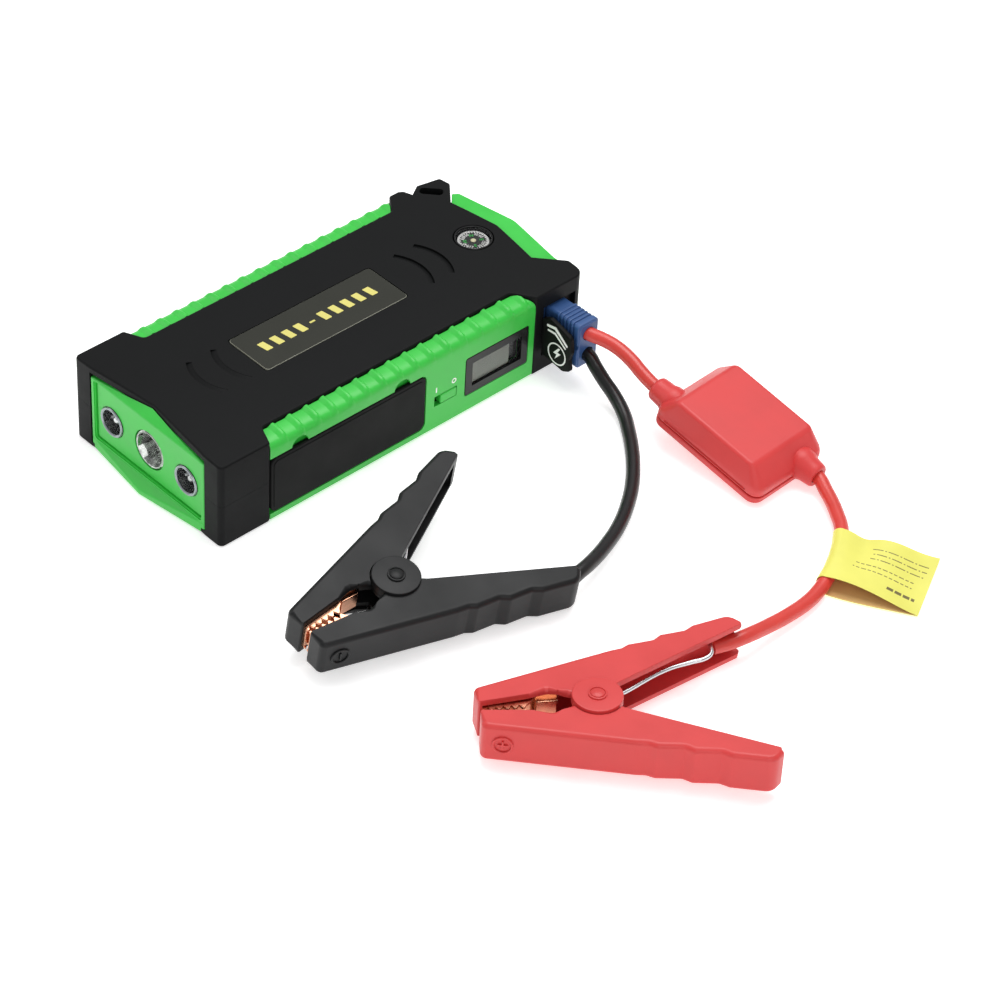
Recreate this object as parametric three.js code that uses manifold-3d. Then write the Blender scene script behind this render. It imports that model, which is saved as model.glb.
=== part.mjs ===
// Car jump starter: a lithium pack with a plug-in lead set, in millimetres, +Z up.
// The origin is the middle of the pack's underside. +Y runs from the lamp end to the compass end,
// and +X points out of the side that holds the ports, the display and the jump socket.
import * as THREE from 'three';
import { ConvexGeometry } from 'three/addons/geometries/ConvexGeometry.js';
import { mergeVertices } from 'three/addons/utils/BufferGeometryUtils.js';
import Module from 'manifold-3d';

const wasm = await Module();
wasm.setup();

// ---------------------------------------------------------------- driving dimensions

const HALF_LENGTH = 90; // middle of the pack to its square lamp end
const HALF_WIDTH = 42;
const HEIGHT = 38;
const SPLIT = 19; // height of the joint between the two black shells
const WALL = 2.4;
const GAP = 0.3; // clearance between pieces that touch
const RAIL_DEPTH = 8.4; // how far the side panels bite into the black shells
const RAIL_X = HALF_WIDTH - RAIL_DEPTH;
const RAIL_START = { inner: -63.5, outer: -66.8 };
const RAIL_END = { inner: 59, outer: 65.3 };
const RIB_PITCH = 8;
const TAIL_Y = 84; // black far edge on the centre line
const HORN_Y = 90.5; // far edge of the corner beside the jump socket

const LAMP_PANEL = { halfWidth: 32.5, faceY: -88.9, rimY: -89.9, low: 5.2, high: 33.6, lipY: -94.2 };
const LAMPS = [
  { name: 'main', x: 0, z: 18.9, radius: 8.1 },
  { name: 'left', x: -21.4, z: 18.5, radius: 6.3 },
  { name: 'right', x: 21.4, z: 18.5, radius: 6.3 },
];
const COMPASS = { x: 0, y: 71.2, radius: 7.8, floor: 30.6 };
const LABEL = { width: 23, start: -42.2, end: 27.6 };
const ARC_RADIUS = 20; // decorative grooves beyond each end of the label
const ARC_CRESTS = [-65.6, -54, 44.4, 54.6];

const COVER = { start: -65.1, end: 9.2, low: 3.6, high: 29.2, thick: 2 };
const PORTS_X = 37.4; // back of the plate that the sockets look out of
const PORT_Z = 16.4;
const USB = { width: 13.4, height: 6, wall: 0.6, back: 29.5, places: [-50, -31] };
const DC_JACK = { radius: 4.8, bore: 3.1, back: 29.5, places: [-13.5, -1] };
const SWITCH = { y: 19.5, z: 13.7, slot: 11.4, height: 4.8, knob: 8.2 };
const DISPLAY = { start: 29.6, end: 61.8, low: 8.3, high: 26, border: 3.4 };

const SOCKET = { y: 77.1, z: 20, width: 11.4, height: 21, back: 27 };
const POCKET = { start: 69.4, end: 86, low: 7.4, high: 30.8, floor: 39.6 };
const PLUG = { width: 9.4, height: 19, end: 59, noseWidth: 7.6, noseHeight: 17, noseStart: 30 };
const LEAD_RADIUS = 2.75;
const LEAD_Z = { red: 24.8, black: 15.2 };

// The box hangs on the stiff lead, so its end towards the plug stands clear of the ground.
const BOX = {
  x: 124.5, y: 92.1, lift: 4.6, turn: 2.3, pitch: 10.2, into: [-9.8, 6.8], outOf: [7.6, 7],
};
const CLAMP = { half: 8, cheek: 2.2, spine: 2.7, disc: 9, rivet: 2 };
// Each clamp rolls about two lines on the ground, after turning about the vertical.
const ROLL_LINES = [new THREE.Vector3(1, 1, 0).normalize(), new THREE.Vector3(1, -1, 0).normalize()];
const BLACK_CLAMP = { pivot: [110.3, -67.8, 13.6], rolls: [6.2, -5.8], turn: 89.3, fixedSide: -1 };
const RED_CLAMP = { pivot: [199, -53.7, 10.5], rolls: [-2.8, 0.2], turn: 56.2, fixedSide: 1 };

// Centre lines of the three leads between their fittings, sinking from the plug to the ground.
const RED_UPPER_ROUTE = [
  [52, 77.1, 24.8], [56, 77.1, 24.8], [59.4, 77.4, 24.7], [63.7, 79.1, 24.3], [69.8, 80.9, 23.3],
  [77.6, 81.3, 21.7], [84.4, 81, 19.4],
];
const BLACK_ROUTE = [
  [52, 77.1, 15.2], [56, 77.1, 15.2], [60, 77, 15], [65, 76, 12.8], [70.4, 75.6, 9.6],
  [76.4, 75.2, 6.6], [84.3, 72.7, 4], [92.4, 67.6, 2.9], [100.1, 61.7, 2.8], [107.6, 55, 2.8],
  [114.8, 47.4, 3], [121.1, 39.4, 3.6], [129.6, 26.1, 4.8], [135.6, 13.5, 6.4], [139.6, 2.8, 7.9],
];
const RED_LOWER_ROUTE = [
  [165, 98.7, 4.5], [170.4, 96.2, 4.1], [176.4, 92.7, 3.9], [182.6, 88.4, 3.8], [187.2, 83.4, 3.8],
  [191.2, 77.8, 3.8], [194.7, 71.8, 3.7], [197.7, 65.4, 3.6], [200.3, 58, 3.2], [202.1, 50.4, 3.4],
  [203.3, 38, 4.6], [203.7, 27, 6.3],
];
const TAG = {
  first: 3,
  last: 7,
  slip: [[188.6, 86.2], [193.3, 90.6], [202.7, 98.4], [217, 104.8], [232.4, 75.9], [223.9, 71.3],
    [212.6, 69.9], [200.5, 69.6], [198.4, 68.2]],
};

// ---------------------------------------------------------------- finishes

const finish = (color, roughness, metalness = 0) =>
  new THREE.MeshStandardMaterial({ color, roughness, metalness });
const FINISHES = {
  shell: finish(0x1c1d1e, 0.6),
  green: finish(0x3fc84c, 0.4),
  rubber: finish(0x17181a, 0.75),
  label: finish(0x3a3a33, 0.35),
  chrome: finish(0xe4e6ea, 0.08, 1),
  clear: finish(0xdfe8ee, 0.05),
  board: finish(0x1f5a34, 0.6),
  cell: finish(0x9aa0a6, 0.4, 0.6),
  display: finish(0x8f9488, 0.2),
  bezel: finish(0x141516, 0.35),
  dial: finish(0x101112, 0.5),
  steel: finish(0xb9bdc2, 0.25, 1),
  blue: finish(0x2148b0, 0.4),
  copper: finish(0xb56a45, 0.3, 1),
  brass: finish(0xc9a14a, 0.3, 1),
  redLead: finish(0xe5443f, 0.45),
  blackLead: finish(0x17181a, 0.5),
  redGrip: finish(0xe23a3d, 0.45),
  blackGrip: finish(0x232527, 0.5),
  tag: finish(0xf2ea3e, 0.6),
};

// ---------------------------------------------------------------- geometry helpers

function toSolid(geometry) {
  const bare = geometry.clone();
  bare.deleteAttribute('normal');
  bare.deleteAttribute('uv');
  const merged = mergeVertices(bare, 1e-4);
  return new wasm.Manifold(new wasm.Mesh({
    numProp: 3,
    vertProperties: merged.attributes.position.array,
    triVerts: new Uint32Array(merged.index.array),
  }));
}

function toGeometry(solid) {
  const mesh = solid.getMesh();
  const geometry = new THREE.BufferGeometry();
  geometry.setAttribute('position', new THREE.BufferAttribute(mesh.vertProperties, 3));
  geometry.setIndex(new THREE.BufferAttribute(mesh.triVerts, 1));
  geometry.computeVertexNormals();
  return geometry;
}

const combine = (method) => (first, ...rest) =>
  toGeometry(rest.reduce((solid, next) => solid[method](toSolid(next)), toSolid(first)));
const join = combine('add');
const cut = combine('subtract');
const common = combine('intersect');

// A box between two values on each axis.
function block(x, y, z) {
  const box = new THREE.BoxGeometry(x[1] - x[0], y[1] - y[0], z[1] - z[0]);
  return box.translate((x[0] + x[1]) / 2, (y[0] + y[1]) / 2, (z[0] + z[1]) / 2);
}

const shapeOf = (points) => new THREE.Shape(points.map(([x, y]) => new THREE.Vector2(x, y)));

// An outline in X and Y, raised from one height to another.
function prism(points, low, high) {
  const settings = { depth: high - low, bevelEnabled: false, curveSegments: 4 };
  const outline = points instanceof THREE.Shape ? points : shapeOf(points);
  return new THREE.ExtrudeGeometry(outline, settings).translate(0, 0, low);
}

// An outline in Y and Z, carried along X.
function plate(outline, from, to) {
  return prism(outline, from, to).applyMatrix4(new THREE.Matrix4().makeBasis(
    new THREE.Vector3(0, 1, 0), new THREE.Vector3(0, 0, 1), new THREE.Vector3(1, 0, 0)));
}

function roundedRectangle(x, y, radius) {
  const shape = new THREE.Shape();
  shape.absarc(x[1] - radius, y[0] + radius, radius, -Math.PI / 2, 0);
  shape.absarc(x[1] - radius, y[1] - radius, radius, 0, Math.PI / 2);
  shape.absarc(x[0] + radius, y[1] - radius, radius, Math.PI / 2, Math.PI);
  shape.absarc(x[0] + radius, y[0] + radius, radius, Math.PI, Math.PI * 1.5);
  return shape;
}

const hull = (points) => new ConvexGeometry(points.map((p) => new THREE.Vector3(...p)));

// The corners of a rectangle at one height, for a hull.
const corners = (halfX, halfY, z) =>
  [[-halfX, -halfY, z], [halfX, -halfY, z], [halfX, halfY, z], [-halfX, halfY, z]];

function upright(radius, low, high, x = 0, y = 0, sides = 24) {
  const cylinder = new THREE.CylinderGeometry(radius, radius, high - low, sides);
  return cylinder.rotateX(Math.PI / 2).translate(x, y, (low + high) / 2);
}

// A cylinder along X.
function lying(radius, from, to, y, z, sides = 20) {
  const cylinder = new THREE.CylinderGeometry(radius, radius, to - from, sides);
  return cylinder.rotateZ(Math.PI / 2).translate((from + to) / 2, y, z);
}

// A profile of radius and height pairs, turned about Z.
const turned = (profile, sides = 24) =>
  new THREE.LatheGeometry(profile.map(([r, z]) => new THREE.Vector2(r, z)), sides).rotateX(Math.PI / 2);

function tube(points, radius, steps, sides = 8) {
  const path = new THREE.CatmullRomCurve3(points.map((p) => new THREE.Vector3(...p)));
  const ring = new THREE.Shape();
  for (let side = 0; side < sides; side += 1) {
    const angle = (side / sides) * Math.PI * 2;
    ring[side ? 'lineTo' : 'moveTo'](radius * Math.cos(angle), radius * Math.sin(angle));
  }
  return new THREE.ExtrudeGeometry(ring, { steps, extrudePath: path, bevelEnabled: false });
}

// Moves every edge of an outline that runs anticlockwise inwards by one distance.
function inset(points, distance) {
  const count = points.length;
  return points.map((point, index) => {
    const before = points[(index + count - 1) % count];
    const after = points[(index + 1) % count];
    const inward = (a, b) => {
      const length = Math.hypot(b[0] - a[0], b[1] - a[1]);
      return [-(b[1] - a[1]) / length, (b[0] - a[0]) / length];
    };
    const [ax, ay] = inward(before, point);
    const [bx, by] = inward(point, after);
    const scale = distance / (1 + ax * bx + ay * by);
    return [point[0] + (ax + bx) * scale, point[1] + (ay + by) * scale];
  });
}

const mirrored = (geometry) => {
  const turnedOver = geometry.toNonIndexed().applyMatrix4(new THREE.Matrix4().makeScale(-1, 1, 1));
  const position = turnedOver.attributes.position;
  for (let corner = 0; corner < position.count; corner += 3) {
    const a = new THREE.Vector3().fromBufferAttribute(position, corner);
    const b = new THREE.Vector3().fromBufferAttribute(position, corner + 1);
    position.setXYZ(corner, b.x, b.y, b.z);
    position.setXYZ(corner + 1, a.x, a.y, a.z);
  }
  return turnedOver;
};

const model = new THREE.Group();

function add(name, geometry, material, parent = model) {
  const mesh = new THREE.Mesh(geometry, material);
  mesh.name = name;
  parent.add(mesh);
  return mesh;
}

// ---------------------------------------------------------------- black shells

// Half of the pack's plan, from the middle of the lamp end round to the middle of the far end.
const LAMP_NOTCH = 3.5; // depth of the shallow V that the lamp panel's top runs into
const sidePlan = (side, corner) => [
  [0, -HALF_LENGTH + LAMP_NOTCH], [side * 33, -HALF_LENGTH],
  [side * HALF_WIDTH, -HALF_LENGTH], [side * HALF_WIDTH, RAIL_START.outer],
  [side * RAIL_X, RAIL_START.inner], [side * RAIL_X, RAIL_END.inner],
  [side * HALF_WIDTH, RAIL_END.outer], ...corner, [side * 22.8, 80.6],
];
const SOCKET_CORNER = [[HALF_WIDTH, 87], [38.6, HORN_Y], [33, HORN_Y]];
const CHAMFER_CORNER = [[-HALF_WIDTH, 70], [-40.6, 71.8], [-36.4, 73], [-29.4, 79]];
const PACK_PLAN = [
  ...sidePlan(1, SOCKET_CORNER), [0, TAIL_Y], ...sidePlan(-1, CHAMFER_CORNER).slice(1).reverse(),
];

// The bar across the chamfered corner that a wrist cord ties to, with its slot.
function cordBar() {
  const bar = [[-24, 77], [-23.4, 80.9], [-32.6, 88.8], [-38, 88.3], [-40.2, 78], [-36.6, 72.4]];
  const slot = [[-37.6, 77.4], [-35.2, 74.8], [-29.2, 80.6], [-31.4, 83]];
  return cut(prism(bar, 27, HEIGHT), prism(slot, 20, HEIGHT + 1));
}

// A groove that curves away from the label, one to each crest.
function arcGroove(crest) {
  const outward = Math.sign(crest);
  const half = 0.62; // half the angle of the arc, in radians
  const middle = outward * Math.PI / 2;
  const groove = new THREE.Shape();
  groove.absarc(0, 0, ARC_RADIUS, middle - half, middle + half);
  groove.absarc(0, 0, ARC_RADIUS - 1.3, middle + half, middle - half, true);
  return prism(groove, HEIGHT - 0.5, HEIGHT + 1).translate(0, crest - outward * ARC_RADIUS, 0);
}

const SCREW_PLACES = [[-26, -72], [26, -72], [-26, 62], [26, 62]];

function caseBody() {
  const outer = prism(PACK_PLAN, 0, HEIGHT);
  const inner = prism(inset(PACK_PLAN, WALL), WALL, HEIGHT - WALL);
  const socketBlock = common(block([24, 39.9], [67.5, 87], [5.5, 32.5]), outer);
  const bosses = SCREW_PLACES.map(([x, y]) => upright(4.2, 2, HEIGHT - 2, x, y, 16));
  const screwHoles = SCREW_PLACES.flatMap(([x, y]) =>
    [upright(1.9, -1, 28, x, y, 12), upright(3.5, -1, 3, x, y, 16)]);
  const lampMouth = block([-32.9, 32.9], [-96, -82], [WALL, HEIGHT - WALL]);
  const sideWindow = block([RAIL_X - WALL - 1, RAIL_X + 1], [-58, 54], [6, 28]);
  const pocket = block([POCKET.floor, HALF_WIDTH + 1], [POCKET.start, POCKET.end], [POCKET.low, POCKET.high]);
  const socketHole = block([20, 41],
    [SOCKET.y - SOCKET.width / 2 - GAP, SOCKET.y + SOCKET.width / 2 + GAP],
    [SOCKET.z - SOCKET.height / 2 - GAP, SOCKET.z + SOCKET.height / 2 + GAP]);
  const compassHole = upright(COMPASS.radius + GAP, 28, HEIGHT + 1, COMPASS.x, COMPASS.y, 32);
  const labelBed = block([-LABEL.width / 2 - GAP, LABEL.width / 2 + GAP],
    [LABEL.start - GAP, LABEL.end + GAP], [HEIGHT - 0.6, HEIGHT + 1]);
  return cut(
    join(cut(outer, inner), socketBlock, cordBar(), ...bosses),
    ...screwHoles, lampMouth, sideWindow, pocket, socketHole, compassHole, labelBed,
    ...ARC_CRESTS.map(arcGroove));
}

function makeShells() {
  const body = caseBody();
  const slice = (low, high) => common(body, block([-60, 60], [-100, 100], [low, high]));
  add('top_shell', slice(SPLIT + GAP / 2, HEIGHT + 2), FINISHES.shell);
  add('bottom_shell', slice(-1, SPLIT - GAP / 2), FINISHES.shell);
  SCREW_PLACES.forEach(([x, y], index) => {
    const screw = turned([[0, 0.8], [2.9, 0.8], [2.9, 2.2], [1.5, 2.7], [1.5, 24], [0, 25.4]], 12);
    add(`case_screw_${index + 1}`, screw.translate(x, y, 0), FINISHES.steel);
  });
}

// ---------------------------------------------------------------- green panels

// Section of a side panel in X and Z: upright below, rounded over into the ribbed shoulder.
const panelSection = (proud) => [
  [RAIL_X + GAP, 0.4], [HALF_WIDTH, 0.4], [HALF_WIDTH, 32.6],
  [HALF_WIDTH - 0.5 + proud * 0.5, 34.4], [HALF_WIDTH - 2.2 + proud * 0.7, 36 + proud * 0.7],
  [HALF_WIDTH - 4.8, 36.9 + proud], [RAIL_X + GAP, 37.2 + proud],
];

// Carries a section in X and Z along Y.
const along = (section, from, to) => prism(section, -to, -from).rotateX(Math.PI / 2);

function panelBlank() {
  const plan = [
    [RAIL_X + GAP, RAIL_START.inner + GAP], [HALF_WIDTH + 2, RAIL_START.outer - 0.4],
    [HALF_WIDTH + 2, RAIL_END.outer + 1.1], [RAIL_X + GAP, RAIL_END.inner - GAP],
  ];
  const first = RAIL_START.inner + 5;
  const ribs = [];
  for (let y = first; y < RAIL_END.inner - 2; y += RIB_PITCH) {
    ribs.push(along(panelSection(0.9), y - 2.4, y + 2.4));
  }
  const plain = along(panelSection(0), -70, 70);
  return common(join(plain, ...ribs), prism(plan, -1, HEIGHT + 2));
}

function makeSidePanels() {
  const hollow = block([RAIL_X - 1, HALF_WIDTH - WALL], [-59, 54], [4, 32]);
  add('left_side_panel', mirrored(cut(panelBlank(), hollow)), FINISHES.green);

  const recess = plate(roundedRectangle(
    [COVER.start - GAP, COVER.end + GAP], [COVER.low - GAP, COVER.high + GAP], 3),
  HALF_WIDTH - COVER.thick, HALF_WIDTH + 1);
  const scoops = [-52.4, -2.7].map((y) =>
    lying(4, HALF_WIDTH - COVER.thick, HALF_WIDTH + 1, y, COVER.high + GAP - 0.6, 16));
  const backs = [
    block([RAIL_X - 1, PORTS_X], [-59, 7], [4, 32]),
    block([RAIL_X - 1, HALF_WIDTH - WALL], [12, 58], [4, 32]),
  ];
  const usbHoles = USB.places.map((y) => block([PORTS_X - 1, HALF_WIDTH],
    [y - USB.width / 2 - GAP, y + USB.width / 2 + GAP],
    [PORT_Z - USB.height / 2 - GAP, PORT_Z + USB.height / 2 + GAP]));
  const jackHoles = DC_JACK.places.map((y) =>
    lying(DC_JACK.radius + GAP, PORTS_X - 1, HALF_WIDTH, y, PORT_Z));
  const slot = block([HALF_WIDTH - 4, HALF_WIDTH + 1],
    [SWITCH.y - SWITCH.slot / 2, SWITCH.y + SWITCH.slot / 2],
    [SWITCH.z - SWITCH.height / 2, SWITCH.z + SWITCH.height / 2]);
  const window = block([HALF_WIDTH - 4, HALF_WIDTH + 1],
    [DISPLAY.start - GAP, DISPLAY.end + GAP], [DISPLAY.low - GAP, DISPLAY.high + GAP]);
  add('right_side_panel', cut(panelBlank(), recess, ...scoops, ...backs, ...usbHoles, ...jackHoles,
    slot, window), FINISHES.green);
}

// Bowed green cap over the far end, hollow towards the black wall behind it.
function makeTailPanel() {
  const near = [[0, TAIL_Y + GAP], [-22.9, 81], [-28.4, 86]];
  const edge = [[-26.6, 88.3], [0, 93], [27.2, 88.6]];
  const close = [[31.2, 88.8], [22.9, 81]];
  const top = [...near, [-26, 87.6], [0, 90.6], [26.4, 88.2], ...close.slice(1)];
  const full = [...near, ...edge, ...close.slice(1)];
  const cap = join(prism(full, 2.4, 35.6), prism(top, 0.6, 37.4));
  const hollow = prism([[-19, 70], [19, 70], [19, 87.2], [0, 90.2], [-19, 87]], 5, 33);
  add('tail_panel', cut(cap, hollow), FINISHES.green);
}

// ---------------------------------------------------------------- lamps

function lampPanel() {
  const { halfWidth, faceY, rimY, low, high, lipY } = LAMP_PANEL;
  const row = (y, z) => [[-halfWidth, y, z], [halfWidth, y, z]];
  const face = hull([...row(rimY, high), ...row(rimY, low), ...row(-80.4, high), ...row(-80.4, low)]);
  const facet = hull([...row(rimY, high), ...row(-80.4, high), [0, -86.8, 37.6], [0, -80.4, 37.6]]);
  const lip = hull([...row(rimY, low), ...row(rimY, 0.5), ...row(-83, low), ...row(-83, 0.5),
    [0, lipY, 2.9], [0, lipY, 0.5]]);
  const plateLine = (drop) => [[-34.5, -90.2 - drop], [0, -86.5 - drop], [34.5, -90.2 - drop],
    [halfWidth + 2, -60], [-halfWidth - 2, -60]];
  const underTop = prism(plateLine(GAP), HEIGHT - WALL - GAP, HEIGHT + 1);
  const overBottom = prism(plateLine(GAP), -1, WALL + GAP);
  const faceRecess = block([-30.2, 30.2], [-96, faceY], [low + 0.2, high - 0.4]);
  const behind = block([-29.8, 29.8], [-86, -70], [low, high - 1]);
  return { solid: join(face, facet, lip), cuts: [underTop, overBottom, faceRecess, behind] };
}

// Turns a shape made about Z so that it faces -Y, with its mouth at the lamp face.
const facing = (geometry, lamp, y) => geometry.rotateX(Math.PI / 2).translate(lamp.x, y, lamp.z);

function makeLamps() {
  const { solid, cuts } = lampPanel();
  const holes = LAMPS.map((lamp) => facing(upright(lamp.radius + GAP, -20, 20, 0, 0, 28), lamp, -86));
  add('lamp_panel', cut(solid, ...cuts, ...holes), FINISHES.green);
  LAMPS.forEach((lamp) => {
    const r = lamp.radius;
    const bowl = turned([
      [1.7, -8.2], [r - 2.6, -6.6], [r - 1.3, -3], [r - 0.9, -0.2], [r, -0.2], [r, -1.4],
      [r - 0.5, -3.2], [r - 1.8, -7.6], [2.4, -9], [1.7, -9], [1.7, -8.2]].reverse(), 24);
    add(`${lamp.name}_reflector`, facing(bowl, lamp, LAMP_PANEL.faceY), FINISHES.chrome);
    const lens = turned([[0, -1.7], [r - 1.6, -1.7], [r - 1.4, -0.9], [r - 2.6, -0.1], [0, 0.6]], 24);
    add(`${lamp.name}_lens`, facing(lens, lamp, LAMP_PANEL.faceY + 0.4), FINISHES.clear);
  });
  const emitters = LAMPS.map((lamp) =>
    facing(upright(1.3, -9.6, -7.4, 0, 0, 10), lamp, LAMP_PANEL.faceY));
  const board = block([-28.6, 28.6], [-79.4, -78.2], [9, 28]);
  add('lamp_board', join(board, ...emitters), FINISHES.board);
}

// ---------------------------------------------------------------- compass, label and inside

function makeCompass() {
  const { x, y, radius: r, floor } = COMPASS;
  const cup = turned([[0, floor], [r, floor], [r, 37.8], [r - 0.8, 38.1], [r - 1, 37.2],
    [r - 1, floor + 1.4], [0.7, floor + 1.4], [0.7, floor + 4.6], [0, floor + 5.8]]);
  add('compass_cup', cup.translate(x, y, 0), FINISHES.dial);
  const card = turned([[0, floor + 6.1], [0.9, floor + 5.2], [r - 1.6, floor + 5.2],
    [r - 1.6, floor + 6.1], [1.2, floor + 6.2], [0, floor + 6.5]], 20);
  add('compass_card', card.translate(x, y, 0), FINISHES.dial);
  const lens = turned([[0, 37.3], [r - 1.4, 37.3], [r - 1.4, 37.8], [0, 38.2]]);
  add('compass_lens', lens.translate(x, y, 0), FINISHES.clear);
}

function makeLabel() {
  const outline = roundedRectangle([-LABEL.width / 2, LABEL.width / 2], [LABEL.start, LABEL.end], 1.4);
  add('label_plate', prism(outline, HEIGHT - 0.3, HEIGHT + 0.5), FINISHES.label);
}

const CELL = { halfWidth: 28.5, start: -66, end: 36, thick: 8.6, first: 4 };

function makeInside() {
  for (let layer = 0; layer < 3; layer += 1) {
    const low = CELL.first + layer * (CELL.thick + 0.6);
    const cell = block([-CELL.halfWidth, CELL.halfWidth - 2], [CELL.start, CELL.end], [low, low + CELL.thick]);
    add(`battery_cell_${layer + 1}`, cell, FINISHES.cell);
  }
  const board = block([-19, 20], [39, 78], [6, 7.6]);
  const parts = [
    block([-15, -6], [44, 56], [7, 13]), block([0, 14], [46, 60], [7, 9.4]),
    upright(4, 7, 17, -11, 67, 12), upright(4, 7, 17, 1, 69, 12),
  ];
  add('control_board', join(board, ...parts), FINISHES.board);
}

// ---------------------------------------------------------------- ports, switch and display

function makePorts() {
  const outline = roundedRectangle([COVER.start, COVER.end], [COVER.low, COVER.high], 2.8);
  add('port_cover', plate(outline, HALF_WIDTH - COVER.thick + GAP, HALF_WIDTH + 0.2), FINISHES.rubber);
  USB.places.forEach((y, index) => {
    const shell = (margin, back, front) => block([back, front],
      [y - USB.width / 2 + margin, y + USB.width / 2 - margin],
      [PORT_Z - USB.height / 2 + margin, PORT_Z + USB.height / 2 - margin]);
    add(`usb_socket_${index + 1}`,
      cut(shell(0, USB.back, 39.6), shell(USB.wall, USB.back + 1.2, 41)), FINISHES.steel);
  });
  ['dc_output_socket', 'dc_input_socket'].forEach((name, index) => {
    const y = DC_JACK.places[index];
    const jack = cut(lying(DC_JACK.radius, DC_JACK.back, 39.6, y, PORT_Z),
      lying(DC_JACK.bore, DC_JACK.back + 1.4, 41, y, PORT_Z));
    add(name, jack, FINISHES.bezel);
  });
}

function makeSwitch() {
  const rest = SWITCH.y + (SWITCH.slot - SWITCH.knob) / 2 - GAP;
  const half = { y: SWITCH.knob / 2, z: SWITCH.height / 2 - GAP };
  const knob = join(
    block([HALF_WIDTH - 2.4, HALF_WIDTH + 0.1], [rest - half.y, rest + half.y],
      [SWITCH.z - half.z, SWITCH.z + half.z]),
    block([36.6, HALF_WIDTH - 2], [rest - 1.2, rest + 1.2], [SWITCH.z - 1, SWITCH.z + 1]));
  add('switch_knob', knob, FINISHES.green);
  const body = cut(
    block([32.2, 38.6], [SWITCH.y - 6.4, SWITCH.y + 6.4], [SWITCH.z - 3.6, SWITCH.z + 3.6]),
    block([36, 40], [SWITCH.y - 4.6, SWITCH.y + 4.6], [SWITCH.z - 1.4, SWITCH.z + 1.4]));
  add('switch_body', body, FINISHES.bezel);
}

function makeDisplay() {
  const { start, end, low, high, border } = DISPLAY;
  const rectangle = (margin) => [[start + margin, low + margin], [end - margin, low + margin],
    [end - margin, high - margin], [start + margin, high - margin]];
  const frame = cut(plate(shapeOf(rectangle(0)), 39.8, HALF_WIDTH),
    plate(shapeOf(rectangle(border)), 38, HALF_WIDTH + 1));
  add('display_frame', frame, FINISHES.bezel);
  add('display_window', plate(shapeOf(rectangle(border + GAP)), 40, 41.2), FINISHES.clear);
  add('display_module', plate(shapeOf(rectangle(border + 0.6)), 36.4, 39.7), FINISHES.display);
}

// ---------------------------------------------------------------- jump socket and its cover

function makeJumpSocket() {
  const size = (width, height, from, to) => block([from, to],
    [SOCKET.y - width / 2, SOCKET.y + width / 2], [SOCKET.z - height / 2, SOCKET.z + height / 2]);
  const shell = cut(size(SOCKET.width, SOCKET.height, SOCKET.back, POCKET.floor),
    size(PLUG.noseWidth + 0.8, PLUG.noseHeight + 0.8, PLUG.noseStart - 1, 45));
  add('jump_socket', shell, FINISHES.blue);
}

// Rubber flap that hangs open beside the plug, on a living hinge at the pocket's near edge.
function makeJumpCover() {
  const outline = roundedRectangle([42.6, 58.8], [POCKET.low + 0.4, 28.4], 1.8);
  const flap = prism(outline, -70.6, -68.4).rotateX(Math.PI / 2);
  const rib = block([44.4, 56.6], [70.3, 71.2], [10, 12]);
  const upper = block([44.4, 56.6], [70.3, 71.2], [24, 26]);
  add('jump_cover', join(flap, rib, upper), FINISHES.rubber);
}

// ---------------------------------------------------------------- lead set

const leadSet = new THREE.Group();
model.add(leadSet);

function makePlug() {
  const size = (width, height, from, to) => plate(roundedRectangle(
    [SOCKET.y - width / 2, SOCKET.y + width / 2], [SOCKET.z - height / 2, SOCKET.z + height / 2], 1.4),
  from, to);
  const body = size(PLUG.width, PLUG.height, 40, PLUG.end);
  const nose = size(PLUG.noseWidth, PLUG.noseHeight, PLUG.noseStart, 41);
  const collar = size(PLUG.width + 0.9, PLUG.height + 0.9, 47.5, 57.2);
  const grooves = [];
  for (let x = 48.8; x < 56.5; x += 2) {
    grooves.push(cut(size(12, 22, x, x + 0.8), size(PLUG.width, PLUG.height, x - 1, x + 2)));
  }
  const waist = [-1, 1].map((side) => block([50, 60],
    [SOCKET.y + side * 6.5 - 3, SOCKET.y + side * 6.5 + 3], [SOCKET.z - 1, SOCKET.z + 1]));
  const bores = [LEAD_Z.red, LEAD_Z.black].flatMap((z) =>
    [lying(LEAD_RADIUS + 0.4, 51, 62, SOCKET.y, z), lying(3, 28, 52, SOCKET.y, z, 16)]);
  add('plug_body', cut(join(body, nose, collar), ...grooves, ...waist, ...bores), FINISHES.blue, leadSet);
  Object.entries(LEAD_Z).forEach(([colour, z]) =>
    add(`plug_contact_${colour}`, lying(2.6, PLUG.noseStart + 1, 50.4, SOCKET.y, z, 16),
      FINISHES.brass, leadSet));
}

function boxPlace() {
  const turned = new THREE.Matrix4().makeRotationZ(THREE.MathUtils.degToRad(BOX.turn));
  const pitched = new THREE.Matrix4().makeRotationY(THREE.MathUtils.degToRad(BOX.pitch));
  return new THREE.Matrix4().makeTranslation(BOX.x, BOX.y, BOX.lift).multiply(turned)
    .multiply(pitched);
}

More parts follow.
